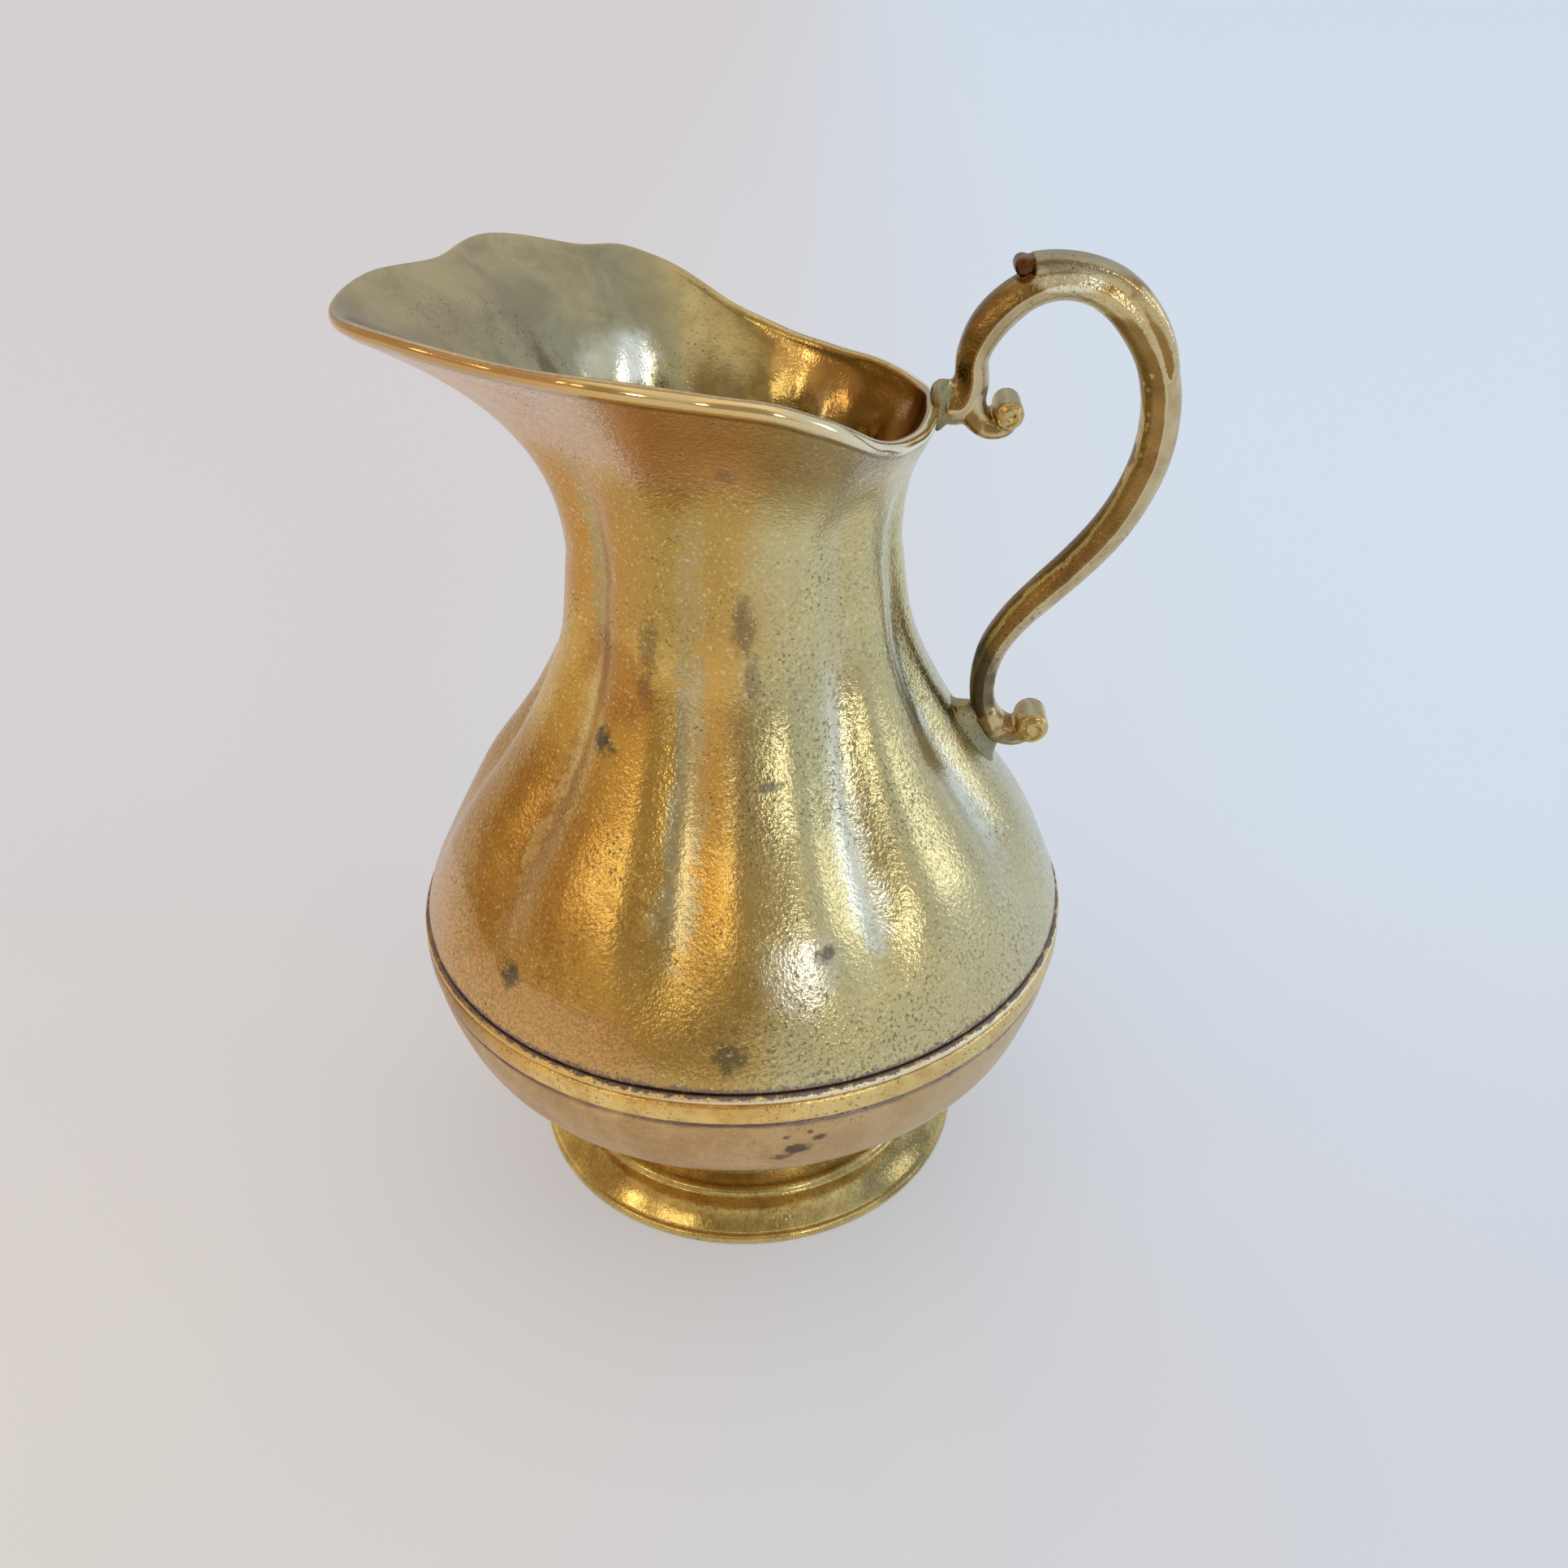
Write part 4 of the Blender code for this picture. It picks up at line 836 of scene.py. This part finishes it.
def handle_finish(colours):
    """Brown brass that turns pale where the bar faces out and down, the brown and pale sides being painted
    shade and light, with painted glint lines along its ridges and upper edges, painted dark outlines along
    its edges, worn edges, a pale crescent on the thumb tongue that is a painted highlight, verdigris at both
    ends and a dark bulb."""
    f = Finish("old_brass_handle")
    f.cast_skin(560.0, 0.16, 1.0)
    mottle = f.clouds(70.0, 0.62, 0.5, 0.34, 0.66)
    brown = f.mix(mottle, (0.23, 0.13, 0.042), (0.38, 0.235, 0.08))
    pale = f.mix(mottle, (0.48, 0.35, 0.17), (0.66, 0.54, 0.32))
    skin = f.add("ShaderNodeNewGeometry")
    # Painted light and shade: brown where the bar faces up and left, pale where it faces out and down towards
    # the light
    painted_light_facing = f.swing(mottle, 0.16, f.vector("DOT_PRODUCT", skin["Normal"], (0.78, -0.1, -0.62)))
    f.colour = f.mix(f.fade(painted_light_facing, 0.08, 0.3), brown, pale)
    # Painted highlight: a glint line along the ridge
    f.cover((0.92, 0.76, 0.4), f.ring(painted_light_facing, 0.2, 0.05, 0.07), 0.45)
    # Painted shade: dark outlines where the bar's sides turn furthest away
    f.cover((0.15, 0.095, 0.035), f.most(f.fade(painted_light_facing, -0.8, -0.92), f.fade(painted_light_facing, 0.84, 0.96)), 0.7)
    # Painted highlight: a pale line along the upper edges at the top
    f.cover((0.84, 0.66, 0.38), f.ring(painted_light_facing, -0.76, 0.05, 0.08), f.fade(f.z, 0.208, 0.2), 0.6)
    for reach, height, radius in ((*UPPER_VOLUTE_CENTRE, 0.0036), (*LOWER_VOLUTE_CENTRE, 0.0044)):
        eye_face = f.stain((reach + AXIS_X, 0.0, height), (radius, 0.02, radius), 0.2, 0.15)
        f.cover((0.64, 0.46, 0.17), eye_face, 0.7)
    f.cover(colours.bright, f.fade(skin["Pointiness"], 0.515, 0.57), 0.4)
    grey = f.mix(mottle, (0.3, 0.27, 0.16), (0.44, 0.4, 0.27))
    f.cover(grey, f.upwards(120.0, 0.004, 0.221, 0.2235), 0.75)
    # Painted highlight: a pale crescent on the strand's top by the thumb tongue
    crescent = f.stain((0.06, -0.0045, 0.2193), (0.0085, 0.0042, 0.0022), 0.4, 0.25, 300.0)
    f.cover((0.95, 0.89, 0.62), crescent, 0.92)
    low = f.stain((0.0485, -0.002, 0.13), (0.0055, 0.006, 0.015), 0.6, 0.5, 260.0)
    f.cover((0.085, 0.09, 0.06), low, 0.75)
    f.sheen(230.0, 0.18, 0.32)
    f.spots(HANDLE_GREENS, colours.verdigris, 0.3, 0.7, 0.6, 300.0)
    f.cover((0.07, 0.045, 0.02), f.pits, 0.75)
    f.dull(low, 0.25)
    bulb = f.stain((BULB_CENTRE[0] + AXIS_X, 0.0, BULB_CENTRE[1]), (0.003, 0.011, 0.0034), 0.2, 0.1)
    f.cover((0.105, 0.036, 0.008), bulb, 0.95)
    return f.close()


def braze_finish(colours):
    """Dull yellow grey braze with green corrosion, which is less metallic."""
    f = Finish("braze_with_verdigris")
    f.cast_skin(700.0, 0.22, 1.3)
    mottle = f.clouds(190.0, 0.65, 0.6, 0.36, 0.62)
    f.colour = f.mix(mottle, (0.34, 0.25, 0.1), (0.3, 0.29, 0.17))
    green = f.fade(f.noise(260.0, 4.0, 0.6, 0.4), 0.5, 0.64)
    f.cover(colours.verdigris, green, 0.35)
    f.cover((0.09, 0.08, 0.05), f.pits, 0.7)
    f.rough = f.ramp(mottle, 0.0, 1.0, 0.3, 0.5)
    return f.close(metallic=f.ramp(green, 0.0, 1.0, 1.0, 0.55))


def dress(piece, node, material):
    """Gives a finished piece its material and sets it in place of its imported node."""
    piece.data.materials.clear()
    piece.data.materials.append(material)
    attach(piece, "root")
    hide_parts(node)


# ---- Pieces


class JUG_OT_upper_body(bpy.types.Operator):
    """Fluted shell with its flared, scalloped lip"""

    bl_idname = "jug.upper_body"
    bl_label = "Fluted body"

    COLUMNS = 324
    BELLY_ROWS = 88
    RIM_ROWS = 52
    LIP_TURNS = (66.0, 50.0, 34.0, 18.0, 4.0, -10.0, -24.0, -40.0, -56.0, -74.0)

    def execute(self, context):
        """One closed loop per direction: the seat, the outer sheet, the lip as a half circle whose
        middle is the middle of the wall's end, the inner side one wall inside the outer, and back."""
        sizes = context.scene.jug_sizes
        theta = np.arange(self.COLUMNS) * 360.0 / self.COLUMNS
        angle = from_spout(theta)
        reach, height, shares = shell_sheet(theta, sizes, self.BELLY_ROWS, self.RIM_ROWS)
        nr, nz = meridian_normals(reach, height)
        half = whole_mouth(4, angle) / 2
        middle = (reach[-1] - nr[-1] * sizes.wall / 2, height[-1] - nz[-1] * sizes.wall / 2)
        turn = np.radians(np.array(self.LIP_TURNS))[:, None]
        lip_reach = middle[0] + half * (np.sin(turn) * nr[-1] - np.cos(turn) * nz[-1])
        lip_height = middle[1] + half * (np.sin(turn) * nz[-1] + np.cos(turn) * nr[-1])
        seat = np.full((1, self.COLUMNS), BAND_SEAT_RADIUS)
        level = np.ones((1, self.COLUMNS))
        inner = slice(-2, None, -1)
        ledge = reach[:1] - 0.0002
        rows_reach = [seat, seat, ledge - 0.0001, ledge, reach[:-1], lip_reach]
        rows_reach += [(reach - sizes.wall * nr)[inner], seat - sizes.wall]
        rows_height = [level * (SEAM_Z + SEAM_HALF_GAP), level * BAND_TOP_Z]
        rows_height += [level * (BAND_TOP_Z + rise) for rise in (0.00005, 0.0004)] + [height[:-1], lip_height]
        rows_height += [(height - sizes.wall * nz)[inner], level * (SEAM_Z + SEAM_HALF_GAP)]
        points = round_points(np.concatenate(rows_reach), np.concatenate(rows_height), theta[None, :])
        normals = grid_normals(points, True)
        points = points + normals * hand_waviness(points, sizes.waviness)[..., None]
        faces = grid_faces(points.shape[0], self.COLUMNS, True)
        piece = mesh_piece("jug_upper_body", points.reshape(-1, 3), faces)
        lip = len(turn)
        flute = [shares[:1].repeat(4, 0), shares[:-1], shares[-1:].repeat(lip, 0), shares[inner], shares[:1]]
        rows = np.arange(len(points))
        end = len(reach) + 3
        marks = {
            "flute": np.concatenate(flute),
            "inside": np.repeat(ease((rows - end - lip + 4) / 3.0)[:, None], self.COLUMNS, 1),
            "lip": np.repeat(ease(1.5 - np.abs(rows - end - 2.5) / 3.0)[:, None], self.COLUMNS, 1),
        }
        for name, values in marks.items():
            layer = piece.data.attributes.new(name, "FLOAT", "POINT")
            layer.data.foreach_set("value", values.ravel())
        dress(piece, "upper_body", body_finish(context.scene.jug_colours))
        return {"FINISHED"}


class JUG_OT_lower_bowl(bpy.types.Operator):
    """Plain round bowl below the girdle"""

    bl_idname = "jug.lower_bowl"
    bl_label = "Lower bowl"

    def execute(self, context):
        """Solid of revolution: the outline from the axis up to the seam, and one wall inside it."""
        sizes = context.scene.jug_sizes
        first = BELLY[0]
        rises = ((0.0, 0.0), (0.015, 0.0004), (0.03, 0.0022), (0.0425, 0.0052), (0.052, 0.0095))
        under = [(reach, BOWL_BOTTOM_Z + rise) for reach, rise in rises] + [(first[1], first[0])]
        reach = np.linspace(POLE_RADIUS, first[1], 44)
        below = np.stack([reach, smooth_through(under, reach)], 1)
        z = np.linspace(first[0], BAND_LOW_Z - 0.0002, 46)[1:]
        outer = np.concatenate([below, np.stack([belly_radius(z), z], 1)])
        nr, nz = meridian_normals(outer[:, 0:1], outer[:, 1:2])
        inner = outer - sizes.wall * np.concatenate([nr, nz], 1)
        inner = inner[inner[:, 0] > POLE_RADIUS]
        far, near, top = BAND_SEAT_RADIUS, BAND_SEAT_RADIUS - sizes.wall, SEAM_Z - SEAM_HALF_GAP
        seat = [(far, BAND_LOW_Z + 0.0001), (far, top), (near, top), (near, BAND_LOW_Z)]
        profile = np.concatenate([outer, np.array(seat), inner[::-1]])
        piece = turned_piece("jug_lower_bowl", profile, 256, sizes.waviness, caps_on_axis=True)
        dress(piece, "lower_bowl", bowl_finish(context.scene.jug_colours))
        return {"FINISHED"}


class JUG_OT_girdle_band(bpy.types.Operator):
    """Moulded band over the seam of the belly"""

    bl_idname = "jug.girdle_band"
    bl_label = "Girdle band"

    def execute(self, context):
        """Solid of revolution: a broad soft crown, a crease, a fine ridge and rounded edges."""
        sizes = context.scene.jug_sizes
        low, top = BAND_LOW_Z + BAND_GAP, BAND_TOP_Z - 0.00008
        inner = BAND_SEAT_RADIUS + BAND_GAP
        crown = [(sizes.band_radius - inset, (low, top)[edge] + up) for inset, edge, up in BAND_CROWN]
        line = drawn_line(crown, 54)
        profile = np.concatenate([np.array([(inner, low)]), line, np.array([(inner, top)])])
        piece = turned_piece("jug_girdle_band", profile, 320, sizes.waviness * 0.6)
        dress(piece, "girdle_band", band_finish(context.scene.jug_colours, low, top))
        return {"FINISHED"}


class JUG_OT_foot(bpy.types.Operator):
    """Hollow turned foot"""

    bl_idname = "jug.foot"
    bl_label = "Foot"

    def execute(self, context):
        """Solid of revolution: rim, convex lower band, step with a small bead, cove and flange."""
        rim = context.scene.jug_sizes.foot_radius
        parts = [drawn_line([(rim - inset, z) for inset, z in rows], count) for count, rows in FOOT_MOULDINGS]
        piece = turned_piece("jug_foot", np.concatenate(parts), 288, 0.0)
        dress(piece, "foot", foot_finish(context.scene.jug_colours))
        return {"FINISHED"}


def bar(line, widths, power=3.4, around=28, taper_ends=(0.0, 0.0)):
    """Points and faces of a bar: a superellipse of the given power, or for power 0 an oval with a ridge
    along each side, carried square to a line in the XZ plane, rounded where taper_ends gives a length."""
    tangent = np.gradient(line[:, :2], axis=0)
    tangent /= np.linalg.norm(tangent, axis=1)[:, None]
    along = np.concatenate([[0], np.cumsum(np.linalg.norm(np.diff(line[:, :2], axis=0), axis=1))])
    size = np.ones(len(line))
    for distance, length in ((along, taper_ends[0]), (along[-1] - along, taper_ends[1])):
        if length:
            size *= np.sqrt(1 - (1 - np.clip(distance / length, 0.0, 1.0)) ** 2) * 0.98 + 0.02
    if power:
        a = full_turn(around)
        across, side = signed_power(np.cos(a), 2 / power) / 2, signed_power(np.sin(a), 2 / power) / 2
    else:
        corners = np.array(RIDGED_QUARTER)
        quarter = corners[::-1]
        loop = np.concatenate([quarter, corners * (-1, 1), quarter * (-1, -1), corners * (1, -1)]) / 2
        loop = np.concatenate([loop, loop[:1]])
        length = np.concatenate([[0], np.cumsum(np.linalg.norm(np.diff(loop, axis=0), axis=1))])
        at = np.arange(around) * length[-1] / around
        across, side = np.interp(at, length, loop[:, 0]), np.interp(at, length, loop[:, 1])
    thick = (line[:, 2] * size)[:, None] * across[None, :]
    width = (np.linspace(widths[0], widths[1], len(line)) * size)[:, None] * side[None, :]
    x = AXIS_X + line[:, 0:1] - tangent[:, 1:2] * thick
    return closed_tube(np.stack([x, width, line[:, 1:2] + tangent[:, 0:1] * thick], -1))


def eye(centre, radius, width, around=40):
    """Short round drum across the bar, its two edges rounded and its ends slightly domed."""
    half, rim = width / 2, np.array(EYE_RIM)
    reach = radius * np.concatenate([rim[:, 0], [1.0], rim[::-1, 0]])[:, None]
    y = np.concatenate([-half - rim[:, 1], [0.0], half + rim[::-1, 1]])[:, None]
    a = full_turn(around)
    x, z = AXIS_X + centre[0] + reach * np.cos(a), centre[1] + reach * np.sin(a)
    return closed_tube(np.stack([x, y + 0 * a, z], -1))


def coil_ridge(centre, radius, y, turns, start, thick=0.00055, count=60, around=10):
    """Round cord on a volute's end face: its middle line winds inwards as a spiral."""
    t = np.linspace(0, 1, count)
    a = np.radians(start) + 2 * np.pi * turns * t
    r = radius * (1 - 0.72 * t)
    middle = np.stack([AXIS_X + centre[0] + r * np.cos(a), y + 0 * t, centre[1] + r * np.sin(a)], -1)
    tangent = np.gradient(middle, axis=0)
    tangent /= np.linalg.norm(tangent, axis=1)[:, None]
    sideways = np.array([0.0, 1.0, 0.0])
    out = np.cross(tangent, sideways)
    b = full_turn(around)[None, :, None]
    ring = np.cos(b) * out[:, None, :] + np.sin(b) * sideways
    return closed_tube(middle[:, None, :] + thick * ring)


def fused(name, members, voxel, smoothing):
    """One cast skin round overlapping closed members, by voxel remesh and a few smoothing passes."""
    points, quads, caps, start = [], [], [], 0
    for member_points, member_faces, member_caps in members:
        if signed_volume(member_points - member_points.mean(0), member_faces) < 0:
            member_faces = member_faces[:, ::-1]
            member_caps = [list(reversed(cap)) for cap in member_caps]
        points.append(member_points)
        quads.append(member_faces + start)
        caps += [[index + start for index in cap] for cap in member_caps]
        start += len(member_points)
    mesh = bpy.data.meshes.new(name + "_members")
    mesh.from_pydata(np.concatenate(points).tolist(), [], np.concatenate(quads).tolist() + caps)
    raw = bpy.data.objects.new(name + "_members", mesh)
    bpy.context.scene.collection.objects.link(raw)
    remesh = raw.modifiers.new("skin", "REMESH")
    remesh.mode = "VOXEL"
    remesh.voxel_size = voxel
    smooth = raw.modifiers.new("soften", "SMOOTH")
    smooth.factor = 0.5
    smooth.iterations = smoothing
    bpy.context.view_layer.update()
    finished = bpy.data.meshes.new_from_object(raw.evaluated_get(bpy.context.evaluated_depsgraph_get()))
    finished.name = name
    bpy.data.objects.remove(raw)
    bpy.data.meshes.remove(mesh)
    finished.materials.clear()
    finished.polygons.foreach_set("use_smooth", [True] * len(finished.polygons))
    piece = bpy.data.objects.new(name, finished)
    bpy.context.scene.collection.objects.link(piece)
    return piece


class JUG_OT_handle(bpy.types.Operator):
    """Cast scroll handle with thumb tongue, bulb and two volutes"""

    bl_idname = "jug.handle"
    bl_label = "Scroll handle"

    VOXEL = 0.00036
    SMOOTHING = 4

    def execute(self, context):
        """A ridged oval bar for the strand, superellipse bars for the tongue and the volutes' arms,
        drums for the bulb and the volutes' eyes, and spiral ridges on the volutes' faces, fused into
        one softened skin."""
        sizes = context.scene.jug_sizes
        width, foot_width = sizes.handle_width, sizes.handle_foot_width
        strand = bar(drawn_line(STRAND, 220), (width, foot_width), 0, 64)
        tongue = bar(drawn_line(TONGUE, 90)[3:], (0.007, width + 0.0002), 3.4, taper_ends=(0.001, 0.006))
        upper_arm = bar(drawn_line(UPPER_ARM, 40), (width - 0.0007, width - 0.0009), 3.0)
        lower_arm = bar(drawn_line(LOWER_ARM, 40), (foot_width - 0.0002, foot_width - 0.0003), 3.0)
        bulb = eye(BULB_CENTRE, 0.0018, 0.006)
        upper_eye = eye(UPPER_VOLUTE_CENTRE, 0.003, width + 0.0006)
        lower_eye = eye(LOWER_VOLUTE_CENTRE, 0.0037, foot_width + 0.0008)
        members = [strand, tongue, upper_arm, lower_arm, bulb, upper_eye, lower_eye]
        for side in (-1, 1):
            y = side * (width + 0.0005) / 2
            members.append(coil_ridge(UPPER_VOLUTE_CENTRE, 0.0024, y, 1.25, 200.0))
            y = side * (foot_width + 0.0007) / 2
            members.append(coil_ridge(LOWER_VOLUTE_CENTRE, 0.0029, y, 1.1, 230.0, 0.0006))
        piece = fused("jug_handle", members, self.VOXEL, self.SMOOTHING)
        dress(piece, "handle", handle_finish(context.scene.jug_colours))
        return {"FINISHED"}


class JUG_OT_brazed_joints(bpy.types.Operator):
    """Braze collar at the rim and braze pad on the shoulder"""

    bl_idname = "jug.brazed_joints"
    bl_label = "Brazed joints"

    def shoulder(self, sizes):
        """Oval fillet on the wall: out to the handle's foot in its middle, down to the wall at its
        edge, with small lumps. Its inner side lies just inside the wall."""
        rings, around = 26, 96
        u = np.linspace(0.02, 1.0, rings)[:, None]
        a = full_turn(around)[None, :]
        along = u * 0.0098 * signed_power(np.cos(a), 0.75)
        across = u * 0.0052 * signed_power(np.sin(a), 0.75)
        z = PAD_MIDDLE_Z - along * 0.8
        share = flute_share(np.abs(from_spout(0 * z)), 0.0)
        reach = belly_radius(z) - sizes.flute_depth * share
        x = np.sqrt(np.maximum(reach**2 - across**2, 0.0))
        tilt = math.radians(PAD_ANGLE)
        up = np.array([-math.sin(tilt), math.cos(tilt)])
        plane = (0.0566 * up[0] + 0.1166 * up[1]) + 0.0022
        rise = np.maximum(plane - (x * up[0] + z * up[1]), 0.0003)
        lumps = 0.00025 * np.sin(950 * z + 640 * across) + 0.0002 * np.sin(1400 * across - 700 * z + 1.0)
        fillet = 1 - ease((u - 0.5) / 0.5)
        out = (rise + lumps) * fillet + 0.0001 * (1 - fillet)
        top = np.stack([AXIS_X + x + out * up[0], across, z + out * up[1]], -1)
        inner = np.stack([AXIS_X + x - 0.0009, across * 0.97, z - 0.0004 + 0 * x], -1)
        return closed_tube(np.concatenate([top, inner[::-1]]))

    def collar(self):
        """Short flared sleeve round the handle's stub: an oval that widens towards the lip, lumpy."""
        line = drawn_line(COLLAR, 30)
        a = full_turn(64)
        lumps = 1 + 0.035 * np.sin(5 * a[None, :] + 1600 * line[:, 0:1]) + 0.02 * np.sin(9 * a[None, :] + 2)
        y = line[:, 1:2] * signed_power(np.cos(a), 0.8) * lumps
        z = line[:, 3:4] + line[:, 2:3] * signed_power(np.sin(a), 0.8) * lumps
        return closed_tube(np.stack([AXIS_X + line[:, 0:1] + 0 * a, y, z], -1))

    def execute(self, context):
        material = braze_finish(context.scene.jug_colours)
        pad = mesh_piece("jug_shoulder_braze", *self.shoulder(context.scene.jug_sizes))
        dress(pad, "shoulder_braze", material)
        collar = mesh_piece("jug_rim_braze", *self.collar())
        dress(collar, "rim_braze", material)
        return {"FINISHED"}


class JUG_OT_stage(bpy.types.Operator):
    """Pale floor, soft light and the camera"""

    bl_idname = "jug.stage"
    bl_label = "Stage"

    EYE = (0.02089, -0.30028, 0.29881)
    RIGHT = (0.99952, 0.03, -0.00741)
    UP = (-0.01037, 0.55165, 0.83401)
    FOCAL_SHARE = 1850.0 / 1932.0

    def lamp(self, name, place, size, power, colour):
        light = bpy.data.lights.new(name, "AREA")
        light.shape = "RECTANGLE"
        light.size, light.size_y = size
        light.energy = power
        light.color = colour
        lamp = bpy.data.objects.new(name, light)
        lamp.location = place
        lamp.rotation_euler = (Vector(LAMP_TARGET) - Vector(place)).to_track_quat("-Z", "Y").to_euler()
        bpy.context.scene.collection.objects.link(lamp)

    def floor(self):
        edge = np.array([(-6.0, -6.0, 0.0), (6.0, -6.0, 0.0), (6.0, 6.0, 0.0), (-6.0, 6.0, 0.0)])
        mesh = bpy.data.meshes.new("floor")
        mesh.from_pydata(edge.tolist(), [], [(0, 1, 2, 3)])
        floor = bpy.data.objects.new("floor", mesh)
        bpy.context.scene.collection.objects.link(floor)
        f = Finish("pale_floor", metallic=0.0)
        # Painted light: the floor's colour runs from warm grey on the left to pale blue on the right, warmer
        # at the front, standing for warm light from the left and cool light from the right
        side = f.fade(f.x, -0.2, 0.24)
        far = f.mix(side, (0.79, 0.765, 0.775), (0.775, 0.88, 0.998))
        near = f.mix(side, (0.83, 0.79, 0.755), (0.745, 0.795, 0.88))
        f.colour, f.rough = f.mix(f.fade(f.y, -0.12, 0.16), near, far), 0.85
        f.relief(f.noise(30.0, 2.0), 0.02, 0.001)
        mesh.materials.append(f.close())
        # Painted light: the floor glows with its own colour at half share for camera and glossy rays, which
        # lightens its shadow, and 15% brighter in reflections
        paths = f.add("ShaderNodeLightPath")
        seen = f.times(f.most(paths["Is Camera Ray"], paths["Is Glossy Ray"]), 0.5)
        shine = f.mix(1.0, f.colour, (0.885, 0.885, 0.905), "MULTIPLY")
        strength = f.drift(paths["Is Glossy Ray"], 0.15, 1.0)
        glow = f.add("ShaderNodeEmission", {"Strength": strength, "Color": shine})[0]
        mixer = f.add("ShaderNodeMixShader", {0: seen, 1: f.shader.outputs[0], 2: glow})
        f.put(f.tree.nodes["Material Output"].inputs["Surface"], mixer[0])

    def sky(self):
        """World light by direction: a bright ceiling, a dim brown room behind the viewer, a warm wall
        on the left and a cool window on the right. Each shows by how far a direction points its way."""
        world = bpy.data.worlds.new("soft_room")
        bpy.context.scene.world = world
        world.use_nodes = True
        nodes = Nodes(world.node_tree)
        direction = nodes.add("ShaderNodeTexCoord")["Generated"]
        colour = SKY_GROUND
        for towards, low, high, tint in SKY:
            along = nodes.vector("DOT_PRODUCT", direction, Vector(towards).normalized())
            colour = nodes.mix(nodes.fade(along, low, high), colour, tint)
        background = world.node_tree.nodes["Background"].inputs
        nodes.put(background["Color"], colour)
        background["Strength"].default_value = 1.0

    def camera(self):
        data = bpy.data.cameras.new("camera")
        data.sensor_width = 36.0
        data.lens = 36.0 * self.FOCAL_SHARE
        camera = bpy.data.objects.new("camera", data)
        right, up = Vector(self.RIGHT).normalized(), Vector(self.UP).normalized()
        back = right.cross(up)
        matrix = camera.matrix_world.copy()
        for row in range(3):
            matrix[row][0], matrix[row][1], matrix[row][2] = right[row], up[row], back[row]
            matrix[row][3] = self.EYE[row]
        matrix[0][3] += AXIS_X
        camera.matrix_world = matrix
        bpy.context.scene.collection.objects.link(camera)
        bpy.context.scene.camera = camera

    def execute(self, context):
        self.floor()
        self.sky()
        self.camera()
        for values in LAMPS:
            self.lamp(*values)
        context.scene.view_settings.view_transform = "Standard"
        return {"FINISHED"}


class JUG_PT_pieces(bpy.types.Panel):
    """Sizes, colours and the jug's pieces"""

    bl_idname = "JUG_PT_pieces"
    bl_label = "Old Brass Jug"
    bl_space_type = "VIEW_3D"
    bl_region_type = "UI"
    bl_category = "Jug"

    def draw(self, context):
        for group in (context.scene.jug_sizes, context.scene.jug_colours):
            for name in group.__annotations__:
                self.layout.prop(group, name)
        for operator in PIECES:
            self.layout.operator(operator.bl_idname)


PIECES = (
    JUG_OT_foot,
    JUG_OT_lower_bowl,
    JUG_OT_girdle_band,
    JUG_OT_upper_body,
    JUG_OT_handle,
    JUG_OT_brazed_joints,
    JUG_OT_stage,
)


def register():
    for cls in (JugSizes, JugColours, *PIECES, JUG_PT_pieces):
        bpy.utils.register_class(cls)
    bpy.types.Scene.jug_sizes = bpy.props.PointerProperty(type=JugSizes)
    bpy.types.Scene.jug_colours = bpy.props.PointerProperty(type=JugColours)


def unregister():
    del bpy.types.Scene.jug_colours
    del bpy.types.Scene.jug_sizes
    for cls in reversed((JugSizes, JugColours, *PIECES, JUG_PT_pieces)):
        bpy.utils.unregister_class(cls)


def main():
    register()
    bpy.ops.jug.foot()
    bpy.ops.jug.lower_bowl()
    bpy.ops.jug.girdle_band()
    bpy.ops.jug.upper_body()
    bpy.ops.jug.handle()
    bpy.ops.jug.brazed_joints()
    bpy.ops.jug.stage()
    bpy.context.view_layer.update()


if __name__ == "__main__":
    main()
